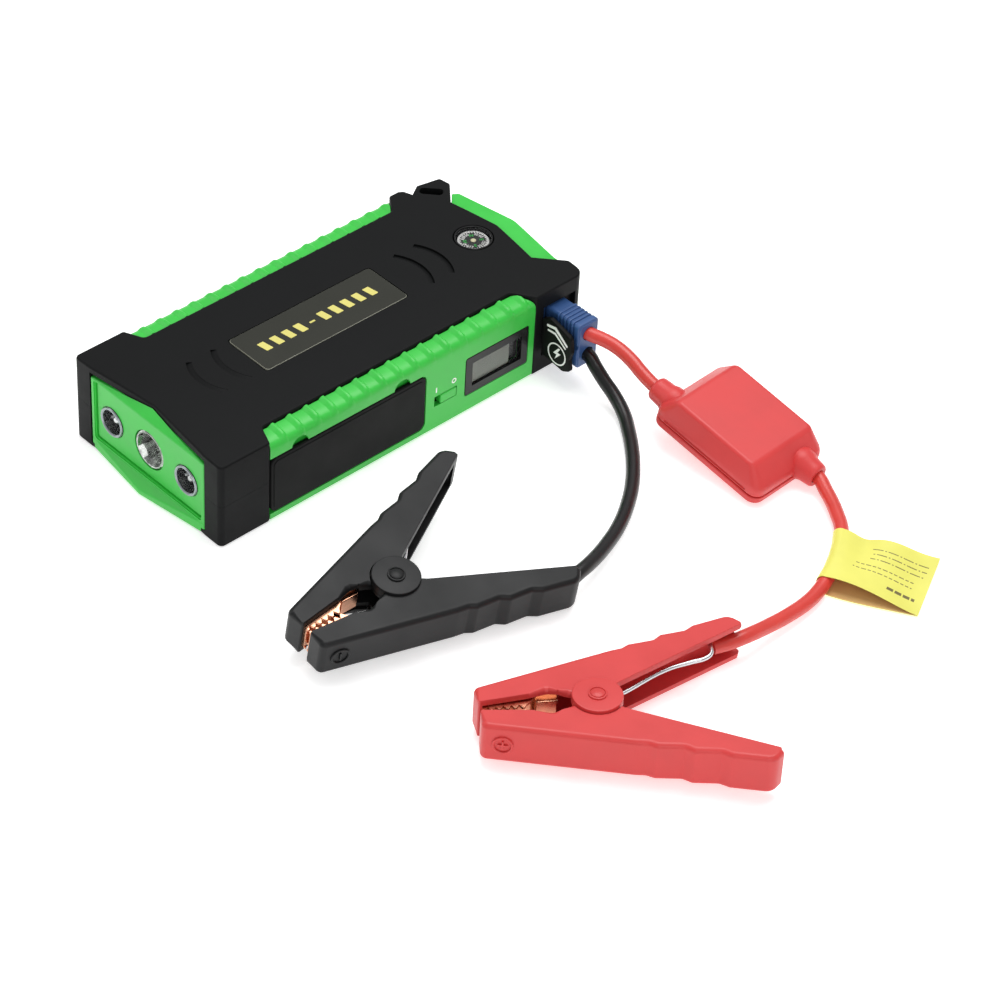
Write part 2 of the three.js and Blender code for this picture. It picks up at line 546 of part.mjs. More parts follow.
function makeBox() {
  const box = new THREE.Group();
  box.applyMatrix4(boxPlace());
  leadSet.add(box);
  const outer = hull([...corners(26.9, 19.1, 4.2), ...corners(26.9, 19.1, 8.4), ...corners(19.6, 16.9, 16.5)]);
  const inner = hull([...corners(24.7, 16.9, 2.6), ...corners(24.7, 16.9, 7.8), ...corners(18, 15.2, 14.3)]);
  const leads = [lying(LEAD_RADIUS + 0.5, -30, -20, ...BOX.into),
    lying(LEAD_RADIUS + 0.5, 20, 30, ...BOX.outOf)];
  add('box_cover', cut(outer, inner, ...leads), FINISHES.redGrip, box);
  const base = hull([...corners(25.3, 17.7, 0), ...corners(26.9, 19.1, 1.6), ...corners(26.9, 19.1, 3.9)]);
  const rim = cut(hull([...corners(24.3, 16.5, 3.4), ...corners(24.3, 16.5, 4.9)]), block([-22.4, 22.4], [-14.7, 14.7], [2.4, 8]));
  add('box_base', join(base, rim), FINISHES.redGrip, box);
  const sleeve = (name, side, [v, w], outline) => {
    const cone = turned([[3.2, 0], ...outline, [3.2, outline.at(-1)[1]], [3.2, 0]], 20);
    cone.rotateY(side * Math.PI / 2).translate(side * 27.2, v, w);
    add(name, cone, FINISHES.redGrip, box);
  };
  sleeve('box_relief_in', -1, BOX.into, [[5.7, 0], [4.7, 6], [4.2, 7.6]]);
  sleeve('box_relief_out', 1, BOX.outOf, [[6.1, 0], [4.9, 4.6], [4.3, 6.6]]);
}

// ---------------------------------------------------------------- clamps

// In a clamp's own frame the pivot is the origin, the handles point along +X and the jaws along -X.
// The back of a half runs from the nose over the jaw, then steps three times under the fingers.
const BACK = [[-41.7, 9.9], [8.8, 24.4], [12.7, 25.5], [15.5, 26.8], [24.6, 28.5], [27.8, 30.6],
  [36.6, 32.3], [40, 34.3], [54.1, 38.4]];
const HANDLE_END = [58.3, 34.1];
const INNER_EDGE = [[-40.8, 1.9], [-23.2, 4], [-16.6, 5.5], [-13, 4.9], [-9.8, 3], [0, 0], [9, 6.7],
  [57.2, 32.2]];

function halfOutline() {
  return [...[...BACK].reverse(), ...INNER_EDGE, HANDLE_END];
}

// The hollow of a half: open at the far end for the lead, or closed by a wall.
function channelOutline(open) {
  const inside = [...BACK].reverse().filter(([x]) => x > -40 && x < 50)
    .map(([x, y]) => [x, y - CLAMP.spine]);
  const end = open ? [[60, -12], [60, 37], [54.1, 35.7]] : [[54.4, -12], [54.4, 32], [51.6, 35]];
  return [...end, ...inside, [-39.4, 7.9], [-39.4, -12]];
}

// One half: a channel with two cheeks. The fixed half carries the outer pivot discs and the lead,
// and the moving half has thinner ears that turn between them.
function handle(fixed) {
  const { half, cheek, disc, rivet } = CLAMP;
  const innerFace = half - cheek;
  const channel = prism(channelOutline(fixed), -innerFace, innerFace);
  const channelled = cut(prism(halfOutline(), -half, half), channel);
  const both = (low, high, make) => [make(low, high), make(-high, -low)];
  const disks = (radius, low, high) => both(low, high, (a, b) => upright(radius, a, b, 0, 0, 24));
  const webs = (outline, low, high) => both(low, high, (a, b) => prism(outline, a, b));
  const bore = upright(rivet + GAP, -12, 12, 0, 0, 16);
  if (fixed) return cut(join(channelled, ...disks(disc, innerFace, half + 1.2)), bore);
  const web = [[-12, 5.4], [-8, 3.2], [8, 5.6], [13, 10.2], [13, 24], [-12, 18]];
  const tie = [[-12, 11.5], [13, 12.5], [13, 24], [-12, 18]];
  return cut(join(
    cut(channelled, ...disks(disc + 0.5, innerFace - 0.1, half + 2)),
    ...disks(disc - 0.5, innerFace - 2.4, innerFace - GAP),
    ...webs(web, innerFace - 2.4, innerFace - GAP),
    ...webs(tie, innerFace - 1, innerFace + 1)), bore);
}

// Toothed copper strip in the nose of one half, rising over the arch behind the teeth.
function jaw() {
  const teeth = [];
  for (let x = -39.2; x < -24.5; x += 2.9) {
    teeth.push([x, 0.5], [x + 0.8, 0.5], [x + 1.9, 2.3]);
  }
  const back = [[-20.5, 4.8], [-12.6, 4.8], [-12.6, 7.4], [-20, 7.6], [-24, 6.2], [-39.2, 5.6]];
  return prism([...teeth, ...back], -5.2, 5.2);
}

function rivet() {
  const { rivet: shaft, half } = CLAMP;
  const face = half + 1.35;
  return turned([[0, -face - 0.9], [2.6, -face - 0.9], [3.25, -face - 0.4], [3.25, -face],
    [shaft, -face], [shaft, face], [3.25, face], [3.25, face + 0.4], [2.6, face + 0.9],
    [0, face + 0.9]], 20);
}

// Torsion spring round the rivet, with a straight leg out to each handle.
function spring() {
  const coil = { radius: 4.2, start: 52.5, sweep: 975, rise: 4.6 };
  const points = [[42, -27, 0]];
  for (let turn = 0; turn <= 1; turn += 1 / 33) {
    const angle = THREE.MathUtils.degToRad(coil.start + coil.sweep * turn);
    points.push([coil.radius * Math.cos(angle), coil.radius * Math.sin(angle), coil.rise * (turn - 0.5)]);
  }
  points.push([42, 27, 0]);
  return tube(points, 0.75, 64, 6);
}

function clampFrame(clamp) {
  const about = (line, degrees) =>
    new THREE.Quaternion().setFromAxisAngle(line, THREE.MathUtils.degToRad(degrees));
  const quaternion = about(ROLL_LINES[1], clamp.rolls[1])
    .multiply(about(ROLL_LINES[0], clamp.rolls[0]))
    .multiply(about(new THREE.Vector3(0, 0, 1), clamp.turn));
  return { position: new THREE.Vector3(...clamp.pivot), quaternion };
}

// A place inside the fixed handle, in the shared frame.
function inFixedHandle(clamp, x, y) {
  const { position, quaternion } = clampFrame(clamp);
  return new THREE.Vector3(x, y * clamp.fixedSide, 0).applyQuaternion(quaternion).add(position).toArray();
}

function makeClamp(colour, clamp, grip) {
  const frame = clampFrame(clamp);
  const group = new THREE.Group();
  group.position.copy(frame.position);
  group.quaternion.copy(frame.quaternion);
  leadSet.add(group);
  const onSide = (geometry, side) => (side > 0 ? geometry : geometry.rotateX(Math.PI));
  const addPiece = (name, geometry, material) => add(`${colour}_${name}`, geometry, material, group);
  addPiece('fixed_handle', onSide(handle(true), clamp.fixedSide), grip);
  addPiece('moving_handle', onSide(handle(false), -clamp.fixedSide), grip);
  addPiece('fixed_jaw', onSide(jaw(), clamp.fixedSide), FINISHES.copper);
  addPiece('moving_jaw', onSide(jaw(), -clamp.fixedSide), FINISHES.copper);
  addPiece('rivet', rivet(), FINISHES.steel);
  addPiece('spring', spring(), FINISHES.steel);
}

// ---------------------------------------------------------------- leads and tag

function onBox(u, [v, w]) {
  return new THREE.Vector3(u, v, w).applyMatrix4(boxPlace()).toArray();
}

const RED_LOWER_POINTS = [
  onBox(25, BOX.outOf), onBox(29, BOX.outOf), onBox(34.2, BOX.outOf), ...RED_LOWER_ROUTE,
  inFixedHandle(RED_CLAMP, 61, 35), inFixedHandle(RED_CLAMP, 54, 32),
  inFixedHandle(RED_CLAMP, 47, 30),
];

function makeLeads() {
  const upper = [...RED_UPPER_ROUTE, onBox(-36.4, BOX.into), onBox(-31, BOX.into), onBox(-25, BOX.into)];
  const black = [...BLACK_ROUTE, inFixedHandle(BLACK_CLAMP, 62.6, 30.9),
    inFixedHandle(BLACK_CLAMP, 54, 31.9), inFixedHandle(BLACK_CLAMP, 47, 30)];
  add('red_lead_upper', tube(upper, LEAD_RADIUS, 18), FINISHES.redLead, leadSet);
  add('black_lead', tube(black, LEAD_RADIUS, 36), FINISHES.blackLead, leadSet);
  add('red_lead_lower', tube(RED_LOWER_POINTS, LEAD_RADIUS, 36), FINISHES.redLead, leadSet);
}

// A printed slip folded round the lower red lead and stuck to itself, lying on the ground.
function makeTag() {
  const near = RED_LOWER_ROUTE.slice(TAG.first, TAG.last + 1);
  const wider = RED_LOWER_ROUTE.slice(TAG.first - 1, TAG.last + 2);
  const sleeve = cut(tube(near, LEAD_RADIUS + 0.75, 8, 12), tube(wider, LEAD_RADIUS + 0.35, 12, 12));
  const slip = prism(TAG.slip, 0.15, 0.75);
  add('lead_tag', join(sleeve, slip), FINISHES.tag, leadSet);
}

makeShells();
makeSidePanels();
makeTailPanel();
makeLamps();
makeCompass();
makeLabel();
makeInside();
makePorts();
makeSwitch();
makeDisplay();
makeJumpSocket();
makeJumpCover();
makePlug();
makeBox();
makeLeads();
makeTag();
makeClamp('black', BLACK_CLAMP, FINISHES.blackGrip);
makeClamp('red', RED_CLAMP, FINISHES.redGrip);

export default model;
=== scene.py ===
"""Car jump starter: the looks of a lithium pack and its plug-in lead set.

Sizes below are millimetres in the shared frame: +Y runs from the lamp end to the compass end, +X
points out of the side with the ports, and Z is up from the pack's underside.
"""
import math
from contextlib import contextmanager

import bmesh
import bpy
from mathutils import Matrix, Vector


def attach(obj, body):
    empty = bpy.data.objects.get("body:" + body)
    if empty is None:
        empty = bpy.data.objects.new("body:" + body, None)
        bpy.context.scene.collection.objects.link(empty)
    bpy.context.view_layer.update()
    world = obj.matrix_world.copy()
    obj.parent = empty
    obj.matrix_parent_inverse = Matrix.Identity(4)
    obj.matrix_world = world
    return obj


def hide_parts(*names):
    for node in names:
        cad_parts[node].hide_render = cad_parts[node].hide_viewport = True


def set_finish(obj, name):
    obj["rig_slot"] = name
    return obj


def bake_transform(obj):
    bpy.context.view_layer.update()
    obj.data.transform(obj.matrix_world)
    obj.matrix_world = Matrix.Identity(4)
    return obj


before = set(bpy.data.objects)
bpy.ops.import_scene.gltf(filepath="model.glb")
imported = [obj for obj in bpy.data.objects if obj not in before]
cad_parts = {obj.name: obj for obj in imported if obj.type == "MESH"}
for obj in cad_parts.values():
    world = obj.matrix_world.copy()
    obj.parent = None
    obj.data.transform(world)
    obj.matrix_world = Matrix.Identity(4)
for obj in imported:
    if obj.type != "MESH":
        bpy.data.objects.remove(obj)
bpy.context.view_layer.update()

MM = 0.001
WELD = 1e-7  # points closer than this, in metres, are one
scene = bpy.context.scene

# ------------------------------------------------------------------ camera and light

CAMERA = {"azimuth": 44.72, "elevation": 40.97, "roll": 3.43, "distance": 1365.83,
          "look": (87.51, 5.91, 0.0), "lens": 133.11}


def linked(name, data):
    """A new object in the scene."""
    made = bpy.data.objects.new(name, data)
    scene.collection.objects.link(made)
    return made


def add_camera():
    azimuth, elevation, roll = (math.radians(CAMERA[k]) for k in ("azimuth", "elevation", "roll"))
    back = Vector((math.sin(azimuth) * math.cos(elevation),
                   -math.cos(azimuth) * math.cos(elevation), math.sin(elevation)))
    right = Vector((0, 0, 1)).cross(back).normalized()
    up = back.cross(right)
    right, up = (right * math.cos(roll) + up * math.sin(roll),
                 up * math.cos(roll) - right * math.sin(roll))
    data = bpy.data.cameras.new("camera")
    data.lens = CAMERA["lens"]
    data.sensor_width = 36
    data.clip_end = 20
    camera = linked("camera", data)
    place = (Vector(CAMERA["look"]) + back * CAMERA["distance"]) * MM
    axes = Matrix((right, up, back)).transposed().to_4x4()
    camera.matrix_world = Matrix.Translation(place) @ axes
    scene.camera = camera


def add_light(name, place, aim, size, power):
    data = bpy.data.lights.new(name, "AREA")
    data.shape = "DISK"
    data.size = size
    data.energy = power
    light = linked(name, data)
    light.location = place
    light.rotation_euler = (Vector(place) - Vector(aim)).to_track_quat("Z", "Y").to_euler()


def add_studio():
    world = bpy.data.worlds.new("studio")
    world.use_nodes = True
    backdrop = world.node_tree.nodes["Background"]
    backdrop.inputs["Color"].default_value = (1, 1, 1, 1)
    backdrop.inputs["Strength"].default_value = 0.5
    scene.world = world
    middle = (0.09, 0.0, 0.02)
    add_light("softbox_top", (-0.1, 0.35, 1.3), middle, 1.1, 14)
    add_light("softbox_left", (-0.9, -0.6, 0.8), middle, 0.9, 2.6)
    add_light("softbox_right", (1.1, -0.5, 0.7), middle, 0.9, 3.2)
    scene.view_settings.view_transform = "Standard"
    far = 3000
    corners = [(-far, -far), (far, -far), (far, far), (-far, far)]
    floor = mesh_piece("floor", [(x, y, -0.2) for x, y in corners], [(0, 1, 2, 3)])
    white = moulded("floor_white", (0.86, 0.86, 0.86), 0.75, grain=3, bump=0.0)
    floor.data.materials.append(glowing(white, (1, 1, 1), 0.5))


# ------------------------------------------------------------------ materials

def node(tree, kind, **settings):
    made = tree.nodes.new(kind)
    for key, value in settings.items():
        if key in made.inputs:
            made.inputs[key].default_value = value
        else:
            setattr(made, key, value)
    return made


MATERIALS = {}


def moulded(name, color, rough, grain=0.35, bump=0.15, variation=0.05, spread=0.06, metal=0.0,
            coat=0.0, specular=0.5, blotch=14.0):
    """A surface with fine grain, slow changes of colour and of gloss. Sizes are millimetres."""
    if name in MATERIALS:
        return MATERIALS[name]
    made = bpy.data.materials.new(name)
    made.use_nodes = True
    tree = made.node_tree
    shader = tree.nodes["Principled BSDF"]
    shader.inputs["Metallic"].default_value = metal
    shader.inputs["Coat Weight"].default_value = coat
    shader.inputs["Coat Roughness"].default_value = 0.15
    shader.inputs["Specular IOR Level"].default_value = specular
    place = node(tree, "ShaderNodeTexCoord").outputs["Object"]
    slow = node(tree, "ShaderNodeTexNoise", Scale=1 / (blotch * MM), Detail=3.0)
    fine = node(tree, "ShaderNodeTexNoise", Scale=1 / (grain * MM), Detail=2.0)
    for texture in (slow, fine):
        tree.links.new(place, texture.inputs["Vector"])
    ramp = node(tree, "ShaderNodeValToRGB")
    dark = [c * (1 - variation) for c in color]
    light = [min(1.0, c * (1 + variation)) for c in color]
    ramp.color_ramp.elements[0].position = 0.35
    ramp.color_ramp.elements[1].position = 0.65
    ramp.color_ramp.elements[0].color = (*dark, 1)
    ramp.color_ramp.elements[1].color = (*light, 1)
    tree.links.new(slow.outputs["Fac"], ramp.inputs["Fac"])
    tree.links.new(ramp.outputs["Color"], shader.inputs["Base Color"])
    gloss = node(tree, "ShaderNodeMapRange")
    gloss.inputs["From Min"].default_value = 0.3
    gloss.inputs["From Max"].default_value = 0.7
    gloss.inputs["To Min"].default_value = max(0.02, rough - spread)
    gloss.inputs["To Max"].default_value = min(1.0, rough + spread)
    tree.links.new(slow.outputs["Fac"], gloss.inputs["Value"])
    tree.links.new(gloss.outputs["Result"], shader.inputs["Roughness"])
    if bump:
        relief = node(tree, "ShaderNodeBump", Strength=bump, Distance=grain * MM * 0.3)
        tree.links.new(fine.outputs["Fac"], relief.inputs["Height"])
        tree.links.new(relief.outputs["Normal"], shader.inputs["Normal"])
    MATERIALS[name] = made
    return made


def clear(name, tint=(0.03, 0.032, 0.032), alpha=0.08):
    made = moulded(name, tint, 0.04, grain=0.6, bump=0.0, spread=0.02, variation=0.01)
    shader = made.node_tree.nodes["Principled BSDF"]
    shader.inputs["Alpha"].default_value = alpha
    shader.inputs["Specular IOR Level"].default_value = 0.3
    return made


def glowing(made, color, strength):
    """Adds a steady glow to a material."""
    shader = made.node_tree.nodes["Principled BSDF"]
    shader.inputs["Emission Color"].default_value = (*color, 1)
    shader.inputs["Emission Strength"].default_value = strength
    return made


BLACK = moulded("rubberised_black", (0.006, 0.0064, 0.0067), 0.5, grain=0.3, bump=0.2,
                specular=0.09)
GREEN = moulded("panel_green", (0.032, 0.5, 0.05), 0.36, grain=0.5, bump=0.06, variation=0.04)
RUBBER = moulded("rubber_black", (0.0055, 0.0058, 0.0058), 0.5, grain=0.25, bump=0.15,
                 specular=0.09)
SMOOTH_BLACK = moulded("smooth_black", (0.006, 0.006, 0.0065), 0.22, grain=0.5, bump=0.02,
                       specular=0.3)
CHROME = moulded("reflector_chrome", (0.42, 0.44, 0.42), 0.14, bump=0.0, metal=1.0, variation=0.5,
                 spread=0.04, blotch=3)
BRIGHT = moulded("bright_chrome", (0.75, 0.77, 0.77), 0.3, bump=0.0, metal=1.0, variation=0.3,
                 blotch=2)
STEEL = moulded("spring_steel", (0.6, 0.61, 0.63), 0.22, grain=0.2, bump=0.08, metal=1.0)
BRASS = moulded("contact_brass", (0.8, 0.58, 0.25), 0.25, bump=0.05, metal=1.0)
COPPER = moulded("jaw_copper", (0.74, 0.38, 0.24), 0.24, grain=0.4, bump=0.12, metal=1.0,
                 variation=0.15, blotch=5)
RED_LEAD = moulded("lead_red", (0.616, 0.044, 0.0331), 0.36, grain=0.4, bump=0.06, coat=0.1)
BLACK_LEAD = moulded("lead_black", (0.006, 0.006, 0.0065), 0.34, grain=0.4, bump=0.06,
                     specular=0.4)
RED_GRIP = moulded("grip_red", (0.616, 0.0458, 0.0452), 0.4, grain=0.45, bump=0.05, variation=0.03,
                   specular=0.4)
BLACK_GRIP = moulded("grip_black", (0.0095, 0.0099, 0.0104), 0.42, grain=0.45, bump=0.12,
                     specular=0.22)
BLUE = moulded("plug_blue", (0.03, 0.085, 0.24), 0.4, grain=0.4, bump=0.08)
TAG = moulded("tag_yellow", (0.76, 0.73, 0.14), 0.4, grain=0.8, bump=0.04, variation=0.03)
TAG_TAN = moulded("tag_paper", (0.66, 0.42, 0.16), 0.6, grain=0.6, bump=0.1)
TAG_INK = moulded("tag_ink", (0.16, 0.13, 0.04), 0.5, grain=0.3, bump=0.0)
LABEL = moulded("label_print", (0.026, 0.027, 0.021), 0.34, grain=0.5, bump=0.02, variation=0.02,
                spread=0.02, specular=0.2)
LABEL_EDGE = moulded("label_edge", (0.25, 0.25, 0.2), 0.3, grain=0.5, bump=0.03)
WHITE_INK = moulded("white_ink", (0.92, 0.92, 0.9), 0.5, grain=0.2, bump=0.05)
GREEN_INK = moulded("green_ink", (0.03, 0.55, 0.08), 0.5, grain=0.2, bump=0.05)
CREAM = moulded("dial_cream", (0.75, 0.7, 0.45), 0.4, grain=0.2, bump=0.05)
DISPLAY_GREY = moulded("display_grey", (0.19, 0.21, 0.18), 0.22, grain=0.3, bump=0.0,
                       variation=0.03)
DISPLAY_DARK = moulded("display_dark", (0.012, 0.012, 0.012), 0.2, grain=0.3, bump=0.0)
BOARD = moulded("circuit_board", (0.01, 0.12, 0.04), 0.4, grain=1.2, bump=0.2, variation=0.3,
                blotch=2)
CELL = moulded("cell_foil", (0.55, 0.57, 0.6), 0.3, grain=1.5, bump=0.3, metal=0.8, variation=0.08)
CLEAR = clear("clear_plastic")
EMITTER = glowing(moulded("emitter_yellow", (0.8, 0.7, 0.25), 0.4), (0.8, 0.7, 0.25), 0.2)
# The side reflectors are chrome; this near-black, non-metal colour is a painted dark reflection of
# what they mirror.
CHROME_PAINTED_DARK = moulded("chrome_with_painted_dark_reflection", (0.02, 0.023, 0.025), 0.15, bump=0.0, metal=0.0, variation=0.01,
                 spread=0.02)
FROST = moulded("lens_rim", (0.3, 0.33, 0.35), 0.25, grain=0.3, bump=0.1, metal=0.6)
DIAL_BLACK = moulded("dial_black", (0.012, 0.013, 0.013), 0.45, grain=0.3, bump=0.1)
YELLOW_INK = moulded("yellow_ink", (0.66, 0.6, 0.16), 0.4, grain=0.2, bump=0.05)


# ------------------------------------------------------------------ mesh helpers

def mesh_piece(name, points, faces):
    mesh = bpy.data.meshes.new(name)
    mesh.from_pydata([[c * MM for c in p] for p in points], [], faces)
    return linked(name, mesh)


def evaluated_mesh(piece):
    """The mesh of a curve, a text or a piece with its modifiers."""
    return bpy.data.meshes.new_from_object(
        piece.evaluated_get(bpy.context.evaluated_depsgraph_get()))


def wire_mesh(curve):
    """The mesh of a curve or a text, in its place."""
    mesh, name = evaluated_mesh(curve), curve.name
    bpy.data.objects.remove(curve)
    return linked(name, mesh)


@contextmanager
def edited(piece):
    """A bmesh of the piece, written back afterwards."""
    body = bmesh.new()
    body.from_mesh(piece.data)
    yield body
    body.to_mesh(piece.data)
    body.free()


def apply_modifiers(piece):
    made = evaluated_mesh(piece)
    piece.modifiers.clear()
    piece.data = made


def combine(piece, others, operation="DIFFERENCE"):
    for other in others:
        step = piece.modifiers.new("step", "BOOLEAN")
        step.operation = operation
        step.object = other
        step.solver = "EXACT"
    apply_modifiers(piece)
    for other in others:
        bpy.data.objects.remove(other)
    return piece


def cut(piece, *others):
    return combine(piece, others)


def join(piece, *others):
    return combine(piece, others, "UNION")


def extrude(outline, low, high, axes="xyz"):
    """An outline in the first two axes, carried along the third from low to high."""
    order = ["xyz".index(a) for a in axes]
    parity = 1 if axes in ("xyz", "yzx", "zxy") else -1
    count = len(outline)
    points = []
    for w in (low, high):
        for u, v in outline:
            point = [0.0, 0.0, 0.0]
            point[order[0]], point[order[1]], point[order[2]] = u, v, w
            points.append(point)
    area = sum(a[0] * b[1] - b[0] * a[1] for a, b in zip(outline, outline[1:] + outline[:1]))
    faces = [tuple(reversed(range(count))), tuple(range(count, 2 * count))]
    faces += [(i, (i + 1) % count, (i + 1) % count + count, i + count) for i in range(count)]
    if area * parity < 0:
        faces = [tuple(reversed(face)) for face in faces]
    return mesh_piece("tool", points, faces)


def block(x, y, z):
    return extrude([(x[0], y[0]), (x[1], y[0]), (x[1], y[1]), (x[0], y[1])], *z)


def fillet(points, radius, steps=5):
    """Rounds each corner of an outline. A point may carry its own radius as a third number."""
    made = []
    count = len(points)
    for i, point in enumerate(points):
        here = Vector(point[:2])
        r = point[2] if len(point) > 2 else radius
        before = Vector(points[i - 1][:2]) - here
        after = Vector(points[(i + 1) % count][:2]) - here
        angle = before.angle(after)
        if r <= 0 or angle > 3.1:
            made.append(tuple(here))
            continue
        reach = min(r / math.tan(angle / 2), before.length * 0.49, after.length * 0.49)
        r = reach * math.tan(angle / 2)
        inward = (before.normalized() + after.normalized()).normalized()
        middle = here + inward * r / math.sin(angle / 2)
        start = here + before.normalized() * reach - middle
        end = here + after.normalized() * reach - middle
        sweep = start.angle_signed(end)
        for step in range(steps + 1):
            turned = start.copy()
            turned.rotate(Matrix.Rotation(-sweep * step / steps, 2))
            made.append(tuple(middle + turned))
    return made


def rectangle(x, y, radius, steps=6):
    return fillet([(x[0], y[0]), (x[1], y[0]), (x[1], y[1]), (x[0], y[1])], radius, steps)


def side_plate(y, z, radius, low, high):
    """A rounded rectangle in Y and Z, from low to high along X."""
    return extrude(rectangle(y, z, radius), low, high, "yzx")


def circle(radius, x=0.0, y=0.0, sides=48):
    turns = [2 * math.pi * i / sides for i in range(sides)]
    return [(x + radius * math.cos(t), y + radius * math.sin(t)) for t in turns]


def lathe(profile, sides=64):
    """Turns radius and height pairs about Z. An end at radius 0 closes the shape."""
    points, rings = [], []
    for r, z in profile:
        if r < 1e-6:
            rings.append([len(points)])
            points.append((0, 0, z))
            continue
        rings.append(list(range(len(points), len(points) + sides)))
        turns = [2 * math.pi * i / sides for i in range(sides)]
        points += [(r * math.cos(t), r * math.sin(t), z) for t in turns]
    faces = []
    pairs = list(zip(rings, rings[1:]))
    if len(rings[0]) > 1 and len(rings[-1]) > 1:
        pairs.append((rings[-1], rings[0]))
    for a, b in pairs:
        for i in range(sides):
            j = (i + 1) % sides
            quad = [a[i % len(a)], a[j % len(a)], b[j % len(b)], b[i % len(b)]]
            faces.append(tuple(dict.fromkeys(quad)))
    return recalculated(mesh_piece("tool", points, faces))


def cushion(outline, half, radius, share, steps=6):
    """A prism along Z with rounded edges. share(u, v) scales the rounding at each point."""
    area = sum(a[0] * b[1] - b[0] * a[1] for a, b in zip(outline, outline[1:] + outline[:1]))
    if area < 0:
        outline = outline[::-1]
    count = len(outline)
    inwards = []
    for i, point in enumerate(outline):
        along = (Vector(outline[(i + 1) % count]) - Vector(outline[i - 1])).normalized()
        inwards.append(Vector((-along.y, along.x)) * radius * share(*point))
    turns = [math.pi / 2 * step / steps for step in range(steps + 1)]
    lower = [(-half + radius * (1 - math.cos(t)), 1 - math.sin(t)) for t in turns]
    layers = lower + [(-z, depth) for z, depth in reversed(lower)]
    points = [(u + n.x * depth, v + n.y * depth, z) for z, depth in layers
              for (u, v), n in zip(outline, inwards)]
    faces = [tuple(reversed(range(count))), tuple(range(len(points) - count, len(points)))]
    for row in range(len(layers) - 1):
        a, b = row * count, (row + 1) * count
        faces += [(a + i, a + (i + 1) % count, b + (i + 1) % count, b + i) for i in range(count)]
    return mesh_piece("tool", points, faces)


def recalculated(piece):
    with edited(piece) as body:
        bmesh.ops.remove_doubles(body, verts=body.verts, dist=WELD)
        bmesh.ops.recalc_face_normals(body, faces=body.faces)
    return piece


def hull(points):
    made = mesh_piece("tool", points, [])
    with edited(made) as body:
        found = bmesh.ops.convex_hull(body, input=body.verts)
        spare = [v for v in found["geom_interior"] if isinstance(v, bmesh.types.BMVert)]
        bmesh.ops.delete(body, geom=spare, context="VERTS")
        bmesh.ops.dissolve_limit(body, angle_limit=0.02, verts=body.verts, edges=body.edges)
        bmesh.ops.recalc_face_normals(body, faces=body.faces)
    return made


def bevel(piece, width, segments=3, angle=30, choose=None):
    """Rounds sharp edges. choose(a, b) picks edges by their ends in millimetres."""
    limit = math.radians(angle)
    with edited(piece) as body:
        picked = []
        for edge in body.edges:
            if len(edge.link_faces) != 2 or edge.calc_face_angle(0) < limit:
                continue
            ends = [v.co / MM for v in edge.verts]
            if choose is None or choose(*ends):
                picked.append(edge)
        bmesh.ops.bevel(body, geom=picked, offset=width * MM, offset_type="OFFSET",
                        segments=segments, profile=0.5, affect="EDGES", clamp_overlap=True,
                        loop_slide=True)
        bmesh.ops.remove_doubles(body, verts=body.verts, dist=WELD)
    return piece


def moved(piece, matrix):
    """Moves a mesh's points. The matrix is in millimetres."""
    scale = Matrix.Diagonal((MM, MM, MM, 1))
    piece.data.transform(scale @ matrix @ scale.inverted())
    if matrix.determinant() < 0:
        piece.data.flip_normals()
    return piece


def shift(x, y, z):
    return Matrix.Translation((x, y, z))


def turn(degrees, axis):
    return Matrix.Rotation(math.radians(degrees), 4, axis)


FLIP_X = Matrix.Diagonal((-1, 1, 1, 1))


# The materials that each slot of the record covers.
SLOTS = {"shell_black": (BLACK,), "panel_green": (GREEN,), "rubber_black": (RUBBER,),
         "bezel_black": (SMOOTH_BLACK, CREAM, DIAL_BLACK), "cell_pouch": (CELL,),
         "reflector_chrome": (CHROME, BRIGHT, CHROME_PAINTED_DARK), "steel": (STEEL,),
         "contact_brass": (BRASS,), "jaw_copper": (COPPER,), "plug_blue": (BLUE,),
         "label_print": (LABEL, LABEL_EDGE, WHITE_INK, GREEN_INK, YELLOW_INK),
         "display_grey": (DISPLAY_GREY, DISPLAY_DARK), "circuit_board": (BOARD, EMITTER),
         "clear_plastic": (CLEAR, FROST), "tag_yellow": (TAG,), "grip_red": (RED_GRIP,),
         "grip_black": (BLACK_GRIP,), "lead_red": (RED_LEAD,), "lead_black": (BLACK_LEAD,)}
SLOT_OF = {material.name: slot for slot, group in SLOTS.items() for material in group}


def done(piece, name, material, *stands_for, body="pack", slot=None, smooth=38):
    """Finishes a piece: name, material, shading, slot and body, and the nodes it stands for."""
    piece.name = name
    piece.data.name = name
    piece.data.materials.clear()
    piece.data.materials.append(material)
    if piece.type == "MESH":
        piece.data.shade_smooth()
        piece.data.set_sharp_from_angle(angle=math.radians(smooth))
        normals = piece.modifiers.new("normals", "WEIGHTED_NORMAL")
        normals.keep_sharp = True
        apply_modifiers(piece)
        piece.data.name = name
    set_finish(piece, slot or SLOT_OF[material.name])
    if body:
        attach(piece, body)
    if stands_for:
        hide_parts(*stands_for)
    return piece


# ------------------------------------------------------------------ places shared with the CAD

BOX = {"place": (124.5, 92.1, 4.6), "turn": 2.3, "pitch": 10.2, "into": (-9.8, 6.8),
       "out_of": (7.6, 7.0)}
CLAMPS = {"black": {"pivot": (110.3, -67.8, 13.6), "rolls": (6.2, -5.8), "turn": 89.3,
                    "fixed": -1},
          "red": {"pivot": (199.0, -53.7, 10.5), "rolls": (-2.8, 0.2), "turn": 56.2, "fixed": 1}}
LEAD = 5.5  # across


def clamp_matrix(colour):
    clamp = CLAMPS[colour]
    first, second = (Matrix.Rotation(math.radians(angle), 4, Vector(line).normalized())
                     for angle, line in zip(clamp["rolls"], ((1, 1, 0), (1, -1, 0))))
    return shift(*clamp["pivot"]) @ second @ first @ turn(clamp["turn"], "Z")


def in_fixed_handle(colour, x, y):
    return tuple(clamp_matrix(colour) @ Vector((x, y * CLAMPS[colour]["fixed"], 0)))


def box_matrix():
    return shift(*BOX["place"]) @ turn(BOX["turn"], "Z") @ turn(BOX["pitch"], "Y")


